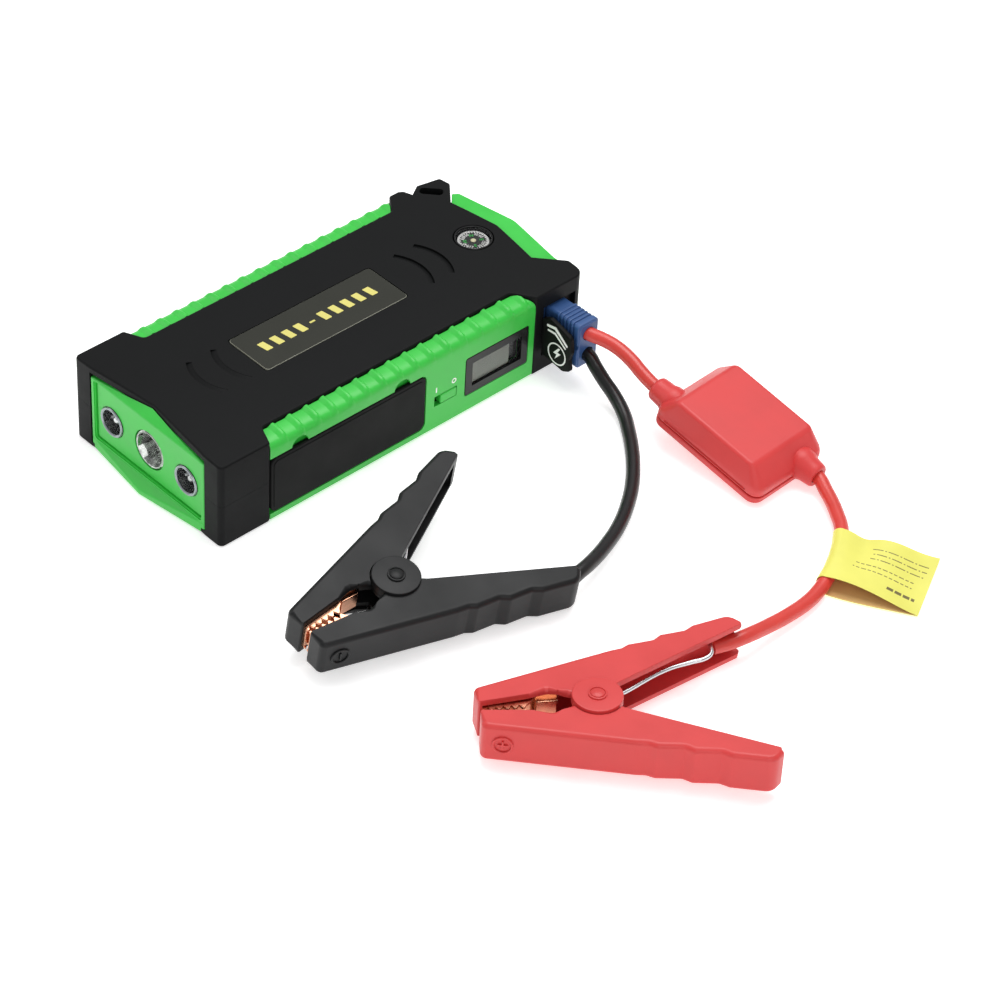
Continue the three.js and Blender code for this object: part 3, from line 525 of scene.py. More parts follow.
def on_box(u, axis):
    return tuple(box_matrix() @ Vector((u, *BOX[axis])))


RED_UPPER = [
    (56, 77.1, 24.8), (59.4, 77.4, 24.7), (63.7, 79.1, 24.3), (69.8, 80.9, 23.3),
    (77.6, 81.3, 21.7), (84.4, 81, 19.4), on_box(-36.4, "into"), on_box(-31, "into"),
    on_box(-25, "into"),
]
BLACK_ROUTE = [
    (56, 77.1, 15.2), (60, 77, 15), (65, 76, 12.8), (70.4, 75.6, 9.6), (76.4, 75.2, 6.6),
    (84.3, 72.7, 4), (92.4, 67.6, 2.9), (100.1, 61.7, 2.8), (107.6, 55, 2.8), (114.8, 47.4, 3),
    (121.1, 39.4, 3.6), (129.6, 26.1, 4.8), (135.6, 13.5, 6.4), (139.6, 2.8, 7.9),
    in_fixed_handle("black", 62.6, 30.9), in_fixed_handle("black", 54, 31.9),
    in_fixed_handle("black", 47, 30),
]
RED_LOWER = [
    on_box(25, "out_of"), on_box(29, "out_of"), on_box(34.2, "out_of"),
    (165, 98.7, 4.5), (170.4, 96.2, 4.1), (176.4, 92.7, 3.9), (182.6, 88.4, 3.8),
    (187.2, 83.4, 3.8), (191.2, 77.8, 3.8), (194.7, 71.8, 3.7), (197.7, 65.4, 3.6),
    (200.3, 58, 3.2), (202.1, 50.4, 3.4), (203.3, 38, 4.6), (203.7, 27, 6.3),
    in_fixed_handle("red", 61, 35), in_fixed_handle("red", 54, 32), in_fixed_handle("red", 47, 30),
]


def wire(name, points, diameter, resolution=10):
    data = bpy.data.curves.new(name, "CURVE")
    data.dimensions = "3D"
    data.bevel_depth = diameter / 2 * MM
    data.bevel_resolution = 6
    data.use_fill_caps = True
    data.resolution_u = resolution
    spline = data.splines.new("BEZIER")
    spline.bezier_points.add(len(points) - 1)
    for knot, point in zip(spline.bezier_points, points):
        knot.co = Vector(point) * MM
        knot.handle_left_type = knot.handle_right_type = "AUTO"
    return linked(name, data)


def add_leads():
    """Returns the three cords."""
    cords = {}
    for name, points, material in (("red_lead_upper", RED_UPPER, RED_LEAD),
                                   ("black_lead", BLACK_ROUTE, BLACK_LEAD),
                                   ("red_lead_lower", RED_LOWER, RED_LEAD)):
        lead = wire(name + "_sleeve", points, LEAD)
        cords[name] = done(lead, name + "_sleeve", material, name, body="lead_set")
    return cords


# ------------------------------------------------------------------ black shells

HALF_WIDTH, RAIL_X, HEIGHT, SPLIT, WALL = 42, 33.6, 38, 19, 2.4
RIGHT_SIDE = [(42, -90, 2.2), (42, -66.8, 1.2), (RAIL_X, -63.5, 2), (RAIL_X, 59, 2),
              (42, 65.3, 1.2), (42, 90.5, 5), (33, 90.5, 0.8), (22.8, 80.6, 0)]
LEFT_SIDE = [(-22.8, 80.6, 0), (-29.4, 79, 0.8), (-36.4, 73, 0.8), (-40.6, 71.8, 1),
             (-42, 70, 0.8), (-42, 65.3, 1.2), (-RAIL_X, 59, 2), (-RAIL_X, -63.5, 2),
             (-42, -66.8, 1.2), (-42, -90, 2.2)]
FRONT = [(-33, -90, 0), (0, -86.5, 0), (33, -90, 0)]
PLAN = RIGHT_SIDE + [(0, 84, 0)] + LEFT_SIDE + FRONT
COMPASS = (0, 71.2)
JUMP = {"y": 77.1, "z": 20.0}
ARC_CRESTS = (-65.6, -54, 44.4, 54.6)
SCREWS = [(-26, -72), (26, -72), (-26, 62), (26, 62)]
FEET = [(-14, -40), (14, -40), (-14, 30), (14, 30)]
LEAD_HEIGHTS = {"red": 24.8, "black": 15.2}


def arc_groove(crest):
    """A shallow crescent, deepest along its outer line."""
    side = math.copysign(1, crest)
    radius, count = 20.0, 25
    turns = [side * math.pi / 2 + 0.62 * (i / 12 - 1) for i in range(count)]
    points, faces = [], []
    for width, z in ((0.0, -0.8), (2.3, 0.0), (2.3, 3.0), (0.0, 3.0)):
        points += [((radius - width) * math.cos(t),
                    (radius - width) * math.sin(t) + crest - side * radius,
                    HEIGHT + 0.75 + z) for t in turns]
    for i in range(count - 1):
        faces += [(i + count * k, i + 1 + count * k, i + 1 + count * ((k + 1) % 4),
                   i + count * ((k + 1) % 4)) for k in range(4)]
    faces += [tuple(count * k for k in range(4)), tuple(count * k + count - 1 for k in range(4))]
    return recalculated(mesh_piece("tool", points, faces))


def crown(piece, rise=0.9):
    """Lifts the middle of the top, so that it is slightly rounded from side to side."""
    drop_at_sides, lowest_moved = 0.35, HEIGHT - 1.5
    with edited(piece) as body:
        for x in range(-40, 41, 5):
            bmesh.ops.bisect_plane(body, geom=body.verts[:] + body.edges[:] + body.faces[:],
                                   plane_co=(x * MM, 0, 0), plane_no=(1, 0, 0))
        for vert in body.verts:
            if vert.co.z > lowest_moved * MM:
                share = abs(vert.co.x / MM) / HALF_WIDTH
                vert.co.z += (rise * (1 - share ** 2) - drop_at_sides * share ** 2) * MM
    return piece


def outer_edge(a, b, z):
    return abs(a.z - z) < 0.05 and abs(b.z - z) < 0.05


def ear():
    bar = fillet([(-24, 77), (-23.4, 80.9), (-32.6, 88.8), (-38, 88.3), (-40.2, 78),
                  (-36.6, 72.4)], 1.4)
    slot = fillet([(-38.2, 78.0), (-35.4, 74.9), (-28.2, 80.9), (-31.0, 84.2)], 1.7)
    made = extrude(bar, 27, HEIGHT)
    bevel(made, 0.8, 3, choose=lambda a, b: outer_edge(a, b, 27) or outer_edge(a, b, HEIGHT))
    return cut(made, extrude(slot, 20, HEIGHT + 4))


def inner_outline():
    return fillet([(x * 0.93, y * 0.97, r) for x, y, r in PLAN], 0)


def mouth():
    return block((-32.9, 32.9), (-96, -82), (WALL, HEIGHT - WALL))


def pocket():
    return block((39.6, 43), (69.4, 86), (7.4, 30.8))


def socket_hole():
    return block((26, 41), (71.1, 83.1), (9.2, 30.8))


def add_shells():
    outline = fillet(PLAN, 0)
    top = extrude(outline, SPLIT + 0.04, HEIGHT)
    bevel(top, 1.5, 4, choose=lambda a, b: outer_edge(a, b, HEIGHT))
    join(top, ear())
    crown(top)
    hollow = extrude(inner_outline(), SPLIT - 5, HEIGHT - WALL)
    boss = block((24, 39.9), (67.5, 85), (15, HEIGHT))
    cut(hollow, boss)
    cut(top, hollow, mouth(), extrude(circle(8.1, *COMPASS), 28, HEIGHT + 4),
        extrude(rectangle((-11.8, 11.3), (-42.5, 27.9), 1.6), HEIGHT + 0.3, HEIGHT + 4),
        pocket(), socket_hole(), *[arc_groove(c) for c in ARC_CRESTS])
    bevel(top, 0.25, 2, angle=50, choose=lambda a, b: not outer_edge(a, b, SPLIT + 0.04))
    done(top, "top_shell_moulding", BLACK, "top_shell")

    bottom = extrude(outline, 0, SPLIT - 0.04)
    bevel(bottom, 3.4, 5, choose=lambda a, b: outer_edge(a, b, 0))
    hollow = extrude(inner_outline(), WALL, SPLIT + 5)
    cut(hollow, block((24, 39.9), (67.5, 85), (0, SPLIT + 6)))
    screws = [extrude(circle(3.5, x, y, 24), -1, 1.6) for x, y in sorted(SCREWS)]
    seats = [extrude(rectangle((x - 4, x + 4), (y - 4, y + 4), 1), -1, 0.5)
             for x, y in sorted(FEET)]
    cut(bottom, hollow, mouth(), pocket(), socket_hole(), *screws, *seats)
    bevel(bottom, 0.25, 2, angle=50, choose=lambda a, b: not outer_edge(a, b, SPLIT - 0.04))
    done(bottom, "bottom_shell_moulding", BLACK, "bottom_shell")
    add_screws_and_feet()


def add_screws_and_feet():
    for number, (x, y) in enumerate(SCREWS, 1):
        head = lathe([(0, 0.9), (2.2, 0.9), (2.9, 1.3), (2.9, 2.2), (1.5, 2.7), (1.5, 24),
                      (0, 25.4)], 32)
        cross = [extrude(rectangle((-1.5, 1.5), (-0.35, 0.35), 0.1), 0.5, 1.7) for _ in range(2)]
        moved(cross[1], turn(90, "Z"))
        cut(head, *cross)
        moved(head, shift(x, y, 0))
        done(head, f"screw_{number}", STEEL, f"case_screw_{number}")
    for number, (x, y) in enumerate(FEET, 1):
        foot = extrude(rectangle((x - 3.7, x + 3.7), (y - 3.7, y + 3.7), 0.9), 0.02, 0.6)
        bevel(foot, 0.15, 2)
        done(foot, f"foot_{number}", RUBBER)


# ------------------------------------------------------------------ green panels

RIB_PITCH = 8.0
RIB_FIRST = -61.2
SLOPE_END, CREST_END, DROP_END = 0.2, 0.32, 0.42  # as shares of the pitch
FLAT = 0.12  # where the flat begins, as a share of the height


def rib_height(y):
    """A ridge in each period: a slope facing the lamps, a crest, a small drop and then a flat."""
    phase = ((y - RIB_FIRST) / RIB_PITCH) % 1.0
    if phase < SLOPE_END:
        return phase / SLOPE_END
    if phase < CREST_END:
        return 1.0
    if phase < DROP_END:
        return FLAT + (1 - FLAT) * (DROP_END - phase) / (DROP_END - CREST_END)
    return FLAT * (1 - (phase - DROP_END) / (1 - DROP_END))


def panel_section(y):
    """The section in X and Z at one place, from the inner edge over the shoulder."""
    lift = rib_height(y) - 0.3
    points = []
    for step in range(17):
        angle = math.pi / 2 * step / 16
        x = RAIL_X + 0.3 + 8.1 * math.sin(angle)
        share = math.sin(angle)
        z = 31.6 + 5.3 * max(0.0, 1 - share ** 3.4) ** (1 / 3.4)
        fade = min(1.0, (16 - step) / 7)
        points.append((x + 0.6 * lift * share ** 4 * fade,
                       z + lift * (1 - share ** 6) * fade))
    return points + [(42, 30), (42, 0.9), (41.6, 0.5), (RAIL_X + 0.3, 0.5)]


def side_panel():
    rows = [-67 + 0.25 * i for i in range(533)]
    sections = [panel_section(y) for y in rows]
    count = len(sections[0])
    points = [(x, y, z) for y, section in zip(rows, sections) for x, z in section]
    faces = [tuple(range(count)), tuple(reversed(range(len(points) - count, len(points))))]
    for row in range(len(rows) - 1):
        a, b = row * count, (row + 1) * count
        faces += [(a + i, b + i, b + (i + 1) % count, a + (i + 1) % count) for i in range(count)]
    made = recalculated(mesh_piece("panel", points, faces))
    plan = [(RAIL_X, -63.2), (44, -67.5), (44, 66.4), (RAIL_X, 58.7)]
    keep = extrude(plan, -1, 45)
    combine(made, [keep], "INTERSECT")
    return made


def add_side_panels():
    left = moved(side_panel(), FLIP_X)
    cut(left, block((-39.6, -30), (-59, 54), (4, 32)))
    done(left, "left_panel_moulding", GREEN, "left_side_panel", smooth=16)

    right = side_panel()
    recess = side_plate((-72, 9.5), (3.3, 29.5), 3, 40, 44)
    scoops = [extrude(circle(4, y, 29.0), 40, 44, "yzx") for y in (-52.4, -2.7)]
    backs = [block((30, 37.4), (-59, 7), (4, 32)), block((30, 39.6), (12, 58), (4, 32))]
    usb = [side_plate((y - 7, y + 7), (13.1, 19.7), 0.5, 36, 43) for y in (-50, -31)]
    jacks = [extrude(circle(5.1, y, 16.4), 36, 43, "yzx") for y in (-13.5, -1)]
    slot = side_plate((13.8, 25.2), (11.3, 16.1), 0.5, 37, 43)
    window = side_plate((29.3, 62.1), (8, 26.3), 1.2, 37, 43)
    cut(right, recess, *scoops, *backs, *usb, *jacks, slot, window)
    done(right, "right_panel_moulding", GREEN, "right_side_panel", smooth=16)


def add_tail_panel():
    near = [(0, 84.3, 0), (-22.9, 81, 0.4), (-28.4, 86, 0.8)]
    far = [(-26.6, 88.3, 1.2), (0, 93, 12), (27.2, 88.6, 1.2)]
    close = [(31.2, 88.8, 0.6), (22.9, 81, 0.4)]
    made = extrude(fillet(near + far + close, 0), 0.6, 36.6)
    bevel(made, 2.2, 4, choose=lambda a, b: outer_edge(a, b, 36.6) and min(a.y, b.y) > 86.5)
    bevel(made, 0.8, 3, choose=lambda a, b: outer_edge(a, b, 0.6))
    hollow = extrude(fillet([(-19, 70), (19, 70), (19, 87), (0, 90.2), (-19, 87)], 0.5), 5, 33)
    cut(made, hollow)
    bevel(made, 0.3, 2, angle=40)
    done(made, "tail_panel_moulding", GREEN, "tail_panel")


# ------------------------------------------------------------------ lamp end

FACE_Y = -88.9
LAMPS = (("main", 0, 18.9, 8.1), ("left", -21.4, 18.5, 6.3), ("right", 21.4, 18.5, 6.3))


def facing_out(x, z):
    """Puts a shape turned about Z at the lamp face, looking out of the lamp end."""
    return shift(x, FACE_Y, z) @ turn(90, "X")


def add_lamp_panel():
    rim = [(x, y, z) for x in (-32.5, 32.5) for y in (-89.9, -80.4) for z in (5.2, 33.6)]
    top = [(-32.5, -89.9, 33.6), (32.5, -89.9, 33.6), (-32.5, -80.4, 33.6), (32.5, -80.4, 33.6),
           (0, -86.8, 37.6), (0, -80.4, 37.6)]
    lip = [(x, y, z) for x in (-32.5, 32.5) for y in (-89.9, -83) for z in (5.2, 0.5)]
    made = join(hull(rim), hull(top), hull(lip + [(0, -94.2, 2.9), (0, -94.2, 0.5)]))
    bevel(made, 0.55, 3, angle=20, choose=lambda a, b: max(a.y, b.y) < -85)
    plate = [(-34.5, -90.5), (0, -86.8), (34.5, -90.5), (34.5, -60), (-34.5, -60)]
    face = extrude(rectangle((-30.3, 30.3), (6.3, 32.6), 1.0), -96, FACE_Y, "xzy")
    inner = extrude(rectangle((-30.9, 30.9), (5.7, 33.2), 1.2), -96, FACE_Y - 0.55, "xzy")
    groove = cut(extrude(rectangle((-30.3, 30.3), (6.3, 32.6), 1.0), -90, FACE_Y + 0.45, "xzy"),
                 extrude(rectangle((-29.7, 29.7), (6.9, 32.0), 0.8), -91, FACE_Y + 1, "xzy"))
    holes = []
    for _, x, z, r in LAMPS:
        hole = lathe([(0, -20), (r + 0.15, -20), (r + 0.15, 0.2), (r + 0.9, 1.4), (0, 1.4)], 64)
        holes.append(moved(hole, facing_out(x, z)))
    cut(made, extrude(plate, HEIGHT - WALL - 0.3, HEIGHT + 1), extrude(plate, -1, WALL + 0.3),
        face, inner, groove, block((-29.8, 29.8), (-86, -70), (5.2, 32.6)), *holes)
    done(made, "lamp_panel_moulding", GREEN, "lamp_panel", smooth=30)


def faceted_bowl(r, sides, rows):
    """A reflector of flat facets between its mouth and the hole for the emitter."""
    inside = []
    for row in range(rows + 1):
        share = row / rows
        radius = 1.8 + (r - 2.9) * math.sqrt(share)
        inside.append((radius, -8.2 + 8.0 * share ** 1.3))
    profile = inside + [(r - 0.55, -0.1), (r - 0.1, -0.4), (r - 0.1, -1.4), (r - 0.6, -3.2),
                        (r - 1.8, -7.6), (2.4, -9), (1.8, -9)]
    made = lathe(profile, sides)
    for vert in made.data.vertices:
        x, y, z = vert.co / MM
        spoke = round(math.atan2(y, x) / math.tau * sides)
        if -7 < z < -1 and math.hypot(x, y) < r - 1.2:
            vert.co.xy *= 0.86 if (spoke + round(z)) % 2 else 1.04
    return made


def add_lamps():
    for name, x, z, r in LAMPS:
        main = name == "main"
        bowl = moved(faceted_bowl(r, 18 if main else 40, 5 if main else 9), facing_out(x, z))
        # The side bowls take the chrome with the painted dark reflection.
        done(bowl, f"{name}_bowl", CHROME if main else CHROME_PAINTED_DARK, f"{name}_reflector",
             smooth=12 if main else 50)
        if not main:
            bulb = lathe([(0, -8.4), (2.2, -8.4), (2.2, -3.6), (1.8, -2.2), (1.0, -1.3),
                          (0, -1.0)], 14)
            fins = [moved(lathe([(0, -7.6), (0.9, -7.2), (1.2, -3.4), (0.6, -2.0), (0, -1.8)], 8),
                          turn(40 + 150 * k, "Z") @ shift(3.2, 0, 0)) for k in range(2)]
            petals = moved(join(bulb, *fins), facing_out(x, z))
            done(petals, f"{name}_petals", BRIGHT, smooth=20)
            ring = lathe([(r - 1.15, 0.0), (r - 0.25, 0.0), (r - 0.05, 0.25), (r - 0.3, 0.7),
                          (r - 0.8, 0.75), (r - 1.2, 0.4)], 64)
            moved(ring, facing_out(x, z))
            done(ring, f"{name}_ring", FROST)
        emitter = lathe([(0, -8.6), (1.4, -8.6), (1.4, -7.2), (0.9, -6.5), (0, -6.2)], 32)
        moved(emitter, facing_out(x, z))
        done(emitter, f"{name}_emitter", EMITTER)
        edge = r - 0.7 if main else r - 1.25
        lens = lathe([(0, 0.05), (edge, -0.25), (edge, 0.2), (edge - 0.3, 0.4), (0, 0.85)], 64)
        moved(lens, facing_out(x, z))
        done(lens, f"{name}_window", CLEAR, f"{name}_lens", smooth=50)


# ------------------------------------------------------------------ compass and label

def lettering(text, size, depth):
    data = bpy.data.curves.new("mark", "FONT")
    data.body = text
    data.size = size * MM
    data.extrude = depth / 2 * MM
    data.align_x = "CENTER"
    data.align_y = "CENTER"
    data.resolution_u = 3
    return wire_mesh(linked("mark", data))


def gathered(parts):
    """One mesh of several that don't touch."""
    body = bmesh.new()
    for part in parts:
        body.from_mesh(part.data)
    body.to_mesh(parts[0].data)
    body.free()
    for part in parts[1:]:
        bpy.data.objects.remove(part)
    return parts[0]


def add_compass():
    x, y = COMPASS
    place = shift(x, y, 0)
    cup = lathe([(0, 30.6), (7.75, 30.6), (7.75, 38.6), (7.5, 38.95), (7.0, 39.0), (6.75, 38.6),
                 (6.75, 32), (0.7, 32), (0.7, 35.2), (0, 36.4)])
    done(moved(cup, place), "compass_ring", SMOOTH_BLACK, "compass_cup")
    card = lathe([(0, 37.0), (0.8, 36.2), (6.3, 36.2), (6.5, 36.4), (6.5, 37.1), (6.2, 37.4),
                  (0, 37.4)])
    done(moved(card, place), "compass_disc", DIAL_BLACK, "compass_card", body="compass")
    top = 37.38
    marks = []
    for number in range(60):
        length = 1.3 if number % 2 else 0.8
        tick = block((-0.19, 0.19), (6.15 - length, 6.15), (top, top + 0.1))
        marks.append(moved(tick, turn(number * 6, "Z")))
    for number in range(12):
        if number % 3:
            digits = moved(lettering(str(number * 30), 1.75, 0.1), shift(0, 4.0, top + 0.05))
            marks.append(moved(digits, turn(-30 * number + 62, "Z")))
    done(moved(gathered(marks), place), "compass_scale", WHITE_INK, body="compass")
    points = [moved(lettering(letter, 2.3, 0.1),
                    turn(62 - 90 * i, "Z") @ shift(0, 3.2, top + 0.05))
              for i, letter in enumerate("NESW")]
    done(moved(gathered(points), place), "compass_points", GREEN_INK, body="compass")
    pin = lathe([(0, 37.3), (1.05, 37.35), (1.1, 37.6), (0.7, 37.9), (0, 38.0)], 32)
    done(moved(pin, place), "compass_pivot", CREAM, body="compass")
    dome = lathe([(0, 38.4), (6.6, 38.4), (6.6, 38.7), (5.0, 38.95), (2.5, 39.1), (0, 39.15)])
    done(moved(dome, place), "compass_window", CLEAR, "compass_lens", smooth=60)


def add_label():
    plate = extrude(rectangle((-11.27, 11.27), (-41.97, 27.37), 1.5), 38.35, 39.05)
    bevel(plate, 0.15, 2)
    done(plate, "label_base", LABEL_EDGE, "label_plate")
    field = extrude(rectangle((-11.1, 11.1), (-41.8, 27.2), 1.4), 38.6, 39.12)
    done(field, "label_field", LABEL)
    bars = []
    for number in range(10):
        y = -33.6 + 5.75 * number
        if number == 4:
            bars.append(extrude(rectangle((-0.45, 0.45), (y - 1.3, y + 1.3), 0.2), 39.1, 39.18))
            continue
        outline = [(-2.6, y - 1.9), (-2.6, y + 1.1), (2.6, y + 1.9), (2.6, y - 1.1)]
        bars.append(extrude(fillet(outline, 0.3), 39.1, 39.18))
    done(gathered(bars), "label_bars", YELLOW_INK)


# ------------------------------------------------------------------ ports, switch and display

def add_ports():
    cover = side_plate((-66.3, 9.1), (3.7, 29.1), 2.9, 40.3, 42.15)
    bevel(cover, 0.5, 3)
    field = side_plate((-65.0, 7.9), (4.9, 27.5), 2.0, 41.5, 42.4)
    join(cover, bevel(field, 0.2, 2))
    done(cover, "cover_flap", RUBBER, "port_cover", body="port_cover_body")
    for number, y in enumerate((-50, -31), 1):
        shell = side_plate((y - 6.7, y + 6.7), (13.4, 19.4), 0.6, 29.5, 39.6)
        cut(shell, side_plate((y - 6.1, y + 6.1), (14.0, 18.8), 0.3, 30.7, 41))
        bevel(shell, 0.12, 2)
        done(shell, f"usb_shell_{number}", STEEL, f"usb_socket_{number}")
        tongue = block((31, 38.4), (y - 5, y + 5), (17.0, 18.4))
        bevel(tongue, 0.2, 2)
        done(tongue, f"usb_tongue_{number}", WHITE_INK, slot="steel")
    for name, y in (("dc_output", -13.5), ("dc_input", -1)):
        jack = lathe([(0, 29.5), (4.8, 29.5), (4.8, 39.3), (4.5, 39.6), (3.4, 39.6), (3.1, 39.3),
                      (3.1, 30.9), (0.9, 30.9), (0.9, 37.4), (0.6, 38), (0, 38)], 48)
        moved(jack, shift(0, y, 16.4) @ turn(90, "Y"))
        done(jack, f"{name}_jack", SMOOTH_BLACK, f"{name}_socket")


def add_switch():
    knob = side_plate((16.8, 24.9), (11.65, 15.75), 0.6, 39.6, 42.25)
    bevel(knob, 0.45, 3, choose=lambda a, b: a.x > 42 and b.x > 42)
    stem = block((36.6, 40), (19.7, 22), (12.7, 14.7))
    join(knob, stem)
    done(knob, "switch_button", GREEN, "switch_knob", body="switch")
    well = block((32.2, 38.6), (13.1, 25.9), (10.1, 17.3))
    bevel(well, 0.3, 2)
    cut(well, block((36, 40), (14.9, 24.1), (12.3, 15.1)))
    done(well, "switch_case", SMOOTH_BLACK, "switch_body")
    line = side_plate((14.4, 14.95), (18.0, 20.3), 0.15, 41.98, 42.06)
    ring = cut(extrude(circle(1.15, 23.6, 19.2, 32), 41.98, 42.06, "yzx"),
               extrude(circle(0.68, 23.6, 19.2, 32), 41, 43, "yzx"))
    done(gathered([line, ring]), "switch_marks", WHITE_INK)


def add_display():
    frame_piece = side_plate((29.6, 61.8), (8.3, 26), 0.9, 40.0, 42.05)
    bevel(frame_piece, 0.25, 2)
    cut(frame_piece, side_plate((33, 58.4), (11.7, 22.6), 0.3, 39, 43))
    done(frame_piece, "display_bezel", SMOOTH_BLACK, "display_frame")
    glass = side_plate((33.25, 58.15), (11.95, 22.35), 0.2, 41.0, 41.5)
    bevel(glass, 0.1, 2)
    done(glass, "display_glass", CLEAR, "display_window")
    panel = side_plate((33.3, 58.1), (12.0, 22.3), 0.2, 36.4, 39.7)
    bevel(panel, 0.1, 1)
    done(panel, "display_back", DISPLAY_DARK, "display_module")
    screen = side_plate((33.4, 53.0), (12.1, 22.2), 0.2, 39.6, 40.9)
    bevel(screen, 0.15, 2)
    done(screen, "display_screen", DISPLAY_GREY)


# ------------------------------------------------------------------ jump socket, flap and plug

def add_jump_socket():
    y, z = JUMP["y"], JUMP["z"]
    shell = side_plate((y - 5.7, y + 5.7), (z - 10.5, z + 10.5), 0.8, 27, 39.5)
    cut(shell, side_plate((y - 4.2, y + 4.2), (z - 8.9, z + 8.9), 1.2, 29, 45))
    bevel(shell, 0.3, 2)
    done(shell, "jump_socket_shell", BLUE, "jump_socket")


def add_flap():
    """The rubber flap stands out from the pocket's near edge, print towards the lamps."""
    outline = fillet([(42.5, 26.8), (42.5, 9.4), (47, 9.0), (54.6, 7.9), (58.6, 10.0),
                      (57.6, 15.2), (58.8, 19.0), (58.0, 25.4), (52.4, 27.2), (46.4, 28.6)], 1.6)
    made = extrude(outline, 68.5, 70.5, "xzy")
    bevel(made, 0.45, 3)
    for low, high in ((10, 12), (23.4, 25.2)):
        join(made, block((44.6, 56.2), (70.2, 71.2), (low, high)))
    done(made, "socket_flap", RUBBER, "jump_cover", body="jump_cover_body")
    ring = cut(extrude(circle(4.9, 51.2, 14.4), 68.42, 68.6, "xzy"),
               extrude(circle(4.3, 51.2, 14.4), 68, 69, "xzy"))
    bolt = [(51.9, 17.6), (49.3, 14.2), (51.1, 14.2), (50.3, 11.7), (53.3, 15.3), (51.5, 15.3),
            (52.9, 17.6)]
    bolt = extrude(bolt, 68.42, 68.6, "xzy")
    swoosh = extrude(fillet([(45.0, 24.4), (49.4, 25.2), (56.4, 20.4), (56.8, 21.4), (50.0, 26.6),
                             (45.2, 25.6)], 0.4), 68.42, 68.6, "xzy")
    strip = extrude(fillet([(45.6, 22.6), (49.6, 22.9), (55.6, 19.0), (55.9, 19.7), (50.0, 23.9),
                            (45.7, 23.5)], 0.3), 68.42, 68.6, "xzy")
    done(gathered([ring, bolt, swoosh, strip]), "flap_marks", WHITE_INK, body="jump_cover_body")


def plug_section(width, height, low, high, radius=1.4):
    y, z = JUMP["y"], JUMP["z"]
    return side_plate((y - width / 2, y + width / 2), (z - height / 2, z + height / 2), radius,
                      low, high)


def add_plug():
    y, z = JUMP["y"], JUMP["z"]
    body = plug_section(9.4, 19, 40, 59)
    bevel(body, 0.35, 2)
    join(body, plug_section(7.6, 17, 30, 41, 1.2))
    ridges = []
    for number in range(5):
        ridge = plug_section(10.4, 20, 46.6 + 1.9 * number, 47.6 + 1.9 * number, 1.6)
        ridges.append(bevel(ridge, 0.25, 2))
    ridges.append(bevel(plug_section(10.6, 20.4, 56.1, 58.6, 1.8), 0.4, 2))
    join(body, *ridges)
    waists = [extrude(circle(1.7, y + side * 6.4, z, 24), 45, 61, "yzx") for side in (-1, 1)]
    bores = [extrude(circle(LEAD / 2 + 0.2, y, lead_z, 32), 51, 62, "yzx")
             for lead_z in LEAD_HEIGHTS.values()]
    bores += [extrude(circle(3, y, lead_z, 32), 28, 52, "yzx") for lead_z in LEAD_HEIGHTS.values()]
    cut(body, *waists, *bores)
    done(body, "plug_moulding", BLUE, "plug_body", body="lead_set", smooth=45)
    for colour, lead_z in LEAD_HEIGHTS.items():
        pin = lathe([(0, 31), (2.2, 31), (2.6, 31.5), (2.6, 49.8), (2.2, 50.4), (0, 50.4)], 32)
        moved(pin, shift(0, y, lead_z) @ turn(90, "Y"))
        done(pin, f"plug_pin_{colour}", BRASS, f"plug_contact_{colour}", body="lead_set")


# ------------------------------------------------------------------ box on the red lead

def rounded_corners(x, y, z, radius):
    return [(u, v, z) for u, v in rectangle((-x, x), (-y, y), radius)]


def add_box():
    place = box_matrix()
    cover = hull(rounded_corners(26.9, 19.1, 4.2, 4.5) + rounded_corners(26.9, 19.1, 8.4, 4.5)
                 + rounded_corners(19.6, 16.9, 16.5, 2.2))
    bevel(cover, 1.4, 5, angle=18)
    slot = block((-21, 21), (-20, -18.5), (5.4, 6.6))
    bevel(slot, 0.4, 3)
    hollow = hull(rounded_corners(24.7, 16.9, 2, 3) + rounded_corners(24.7, 16.9, 7.8, 3)
                  + rounded_corners(18, 15.2, 14.3, 2))
    holes = [extrude(circle(3.3, v, w, 32), *reach, "yzx")
             for (v, w), reach in ((BOX["into"], (-32, -20)), (BOX["out_of"], (20, 32)))]
    cut(cover, slot, hollow, *holes)
    moved(cover, place)
    done(cover, "box_lid", RED_GRIP, "box_cover", body="lead_set", smooth=50)
    base = hull(rounded_corners(25.3, 17.7, 0, 3.5) + rounded_corners(26.9, 19.1, 1.6, 4.5)
                + rounded_corners(26.9, 19.1, 4.1, 4.5))
    bevel(base, 0.5, 3)
    moved(base, place)
    done(base, "box_tray", RED_GRIP, "box_base", body="lead_set", smooth=50)
    shoulders = {"in": [(6.0, -3), (5.9, -0.4), (5.2, 1.4), (4.9, 5.6), (4.7, 6.6), (4.2, 7.2)],
                 "out": [(6.4, -3), (6.2, -0.4), (5.4, 1.6), (5.0, 4.6), (4.8, 6.0), (4.3, 6.6)]}
    for name, side, axis in (("in", -1, "into"), ("out", 1, "out_of")):
        root, tip = -7, shoulders[name][-1][1]
        sleeve = lathe([(2.9, root), (4.8, root), *shoulders[name], (3.4, tip + 0.1),
                        (2.9, tip - 0.3)], 48)
        moved(sleeve, place @ shift(side * 27.2, *BOX[axis]) @ turn(side * 90, "Y"))
        done(sleeve, f"box_sleeve_{name}", RED_GRIP, f"box_relief_{name}", body="lead_set",
             smooth=50)


# ------------------------------------------------------------------ clamps

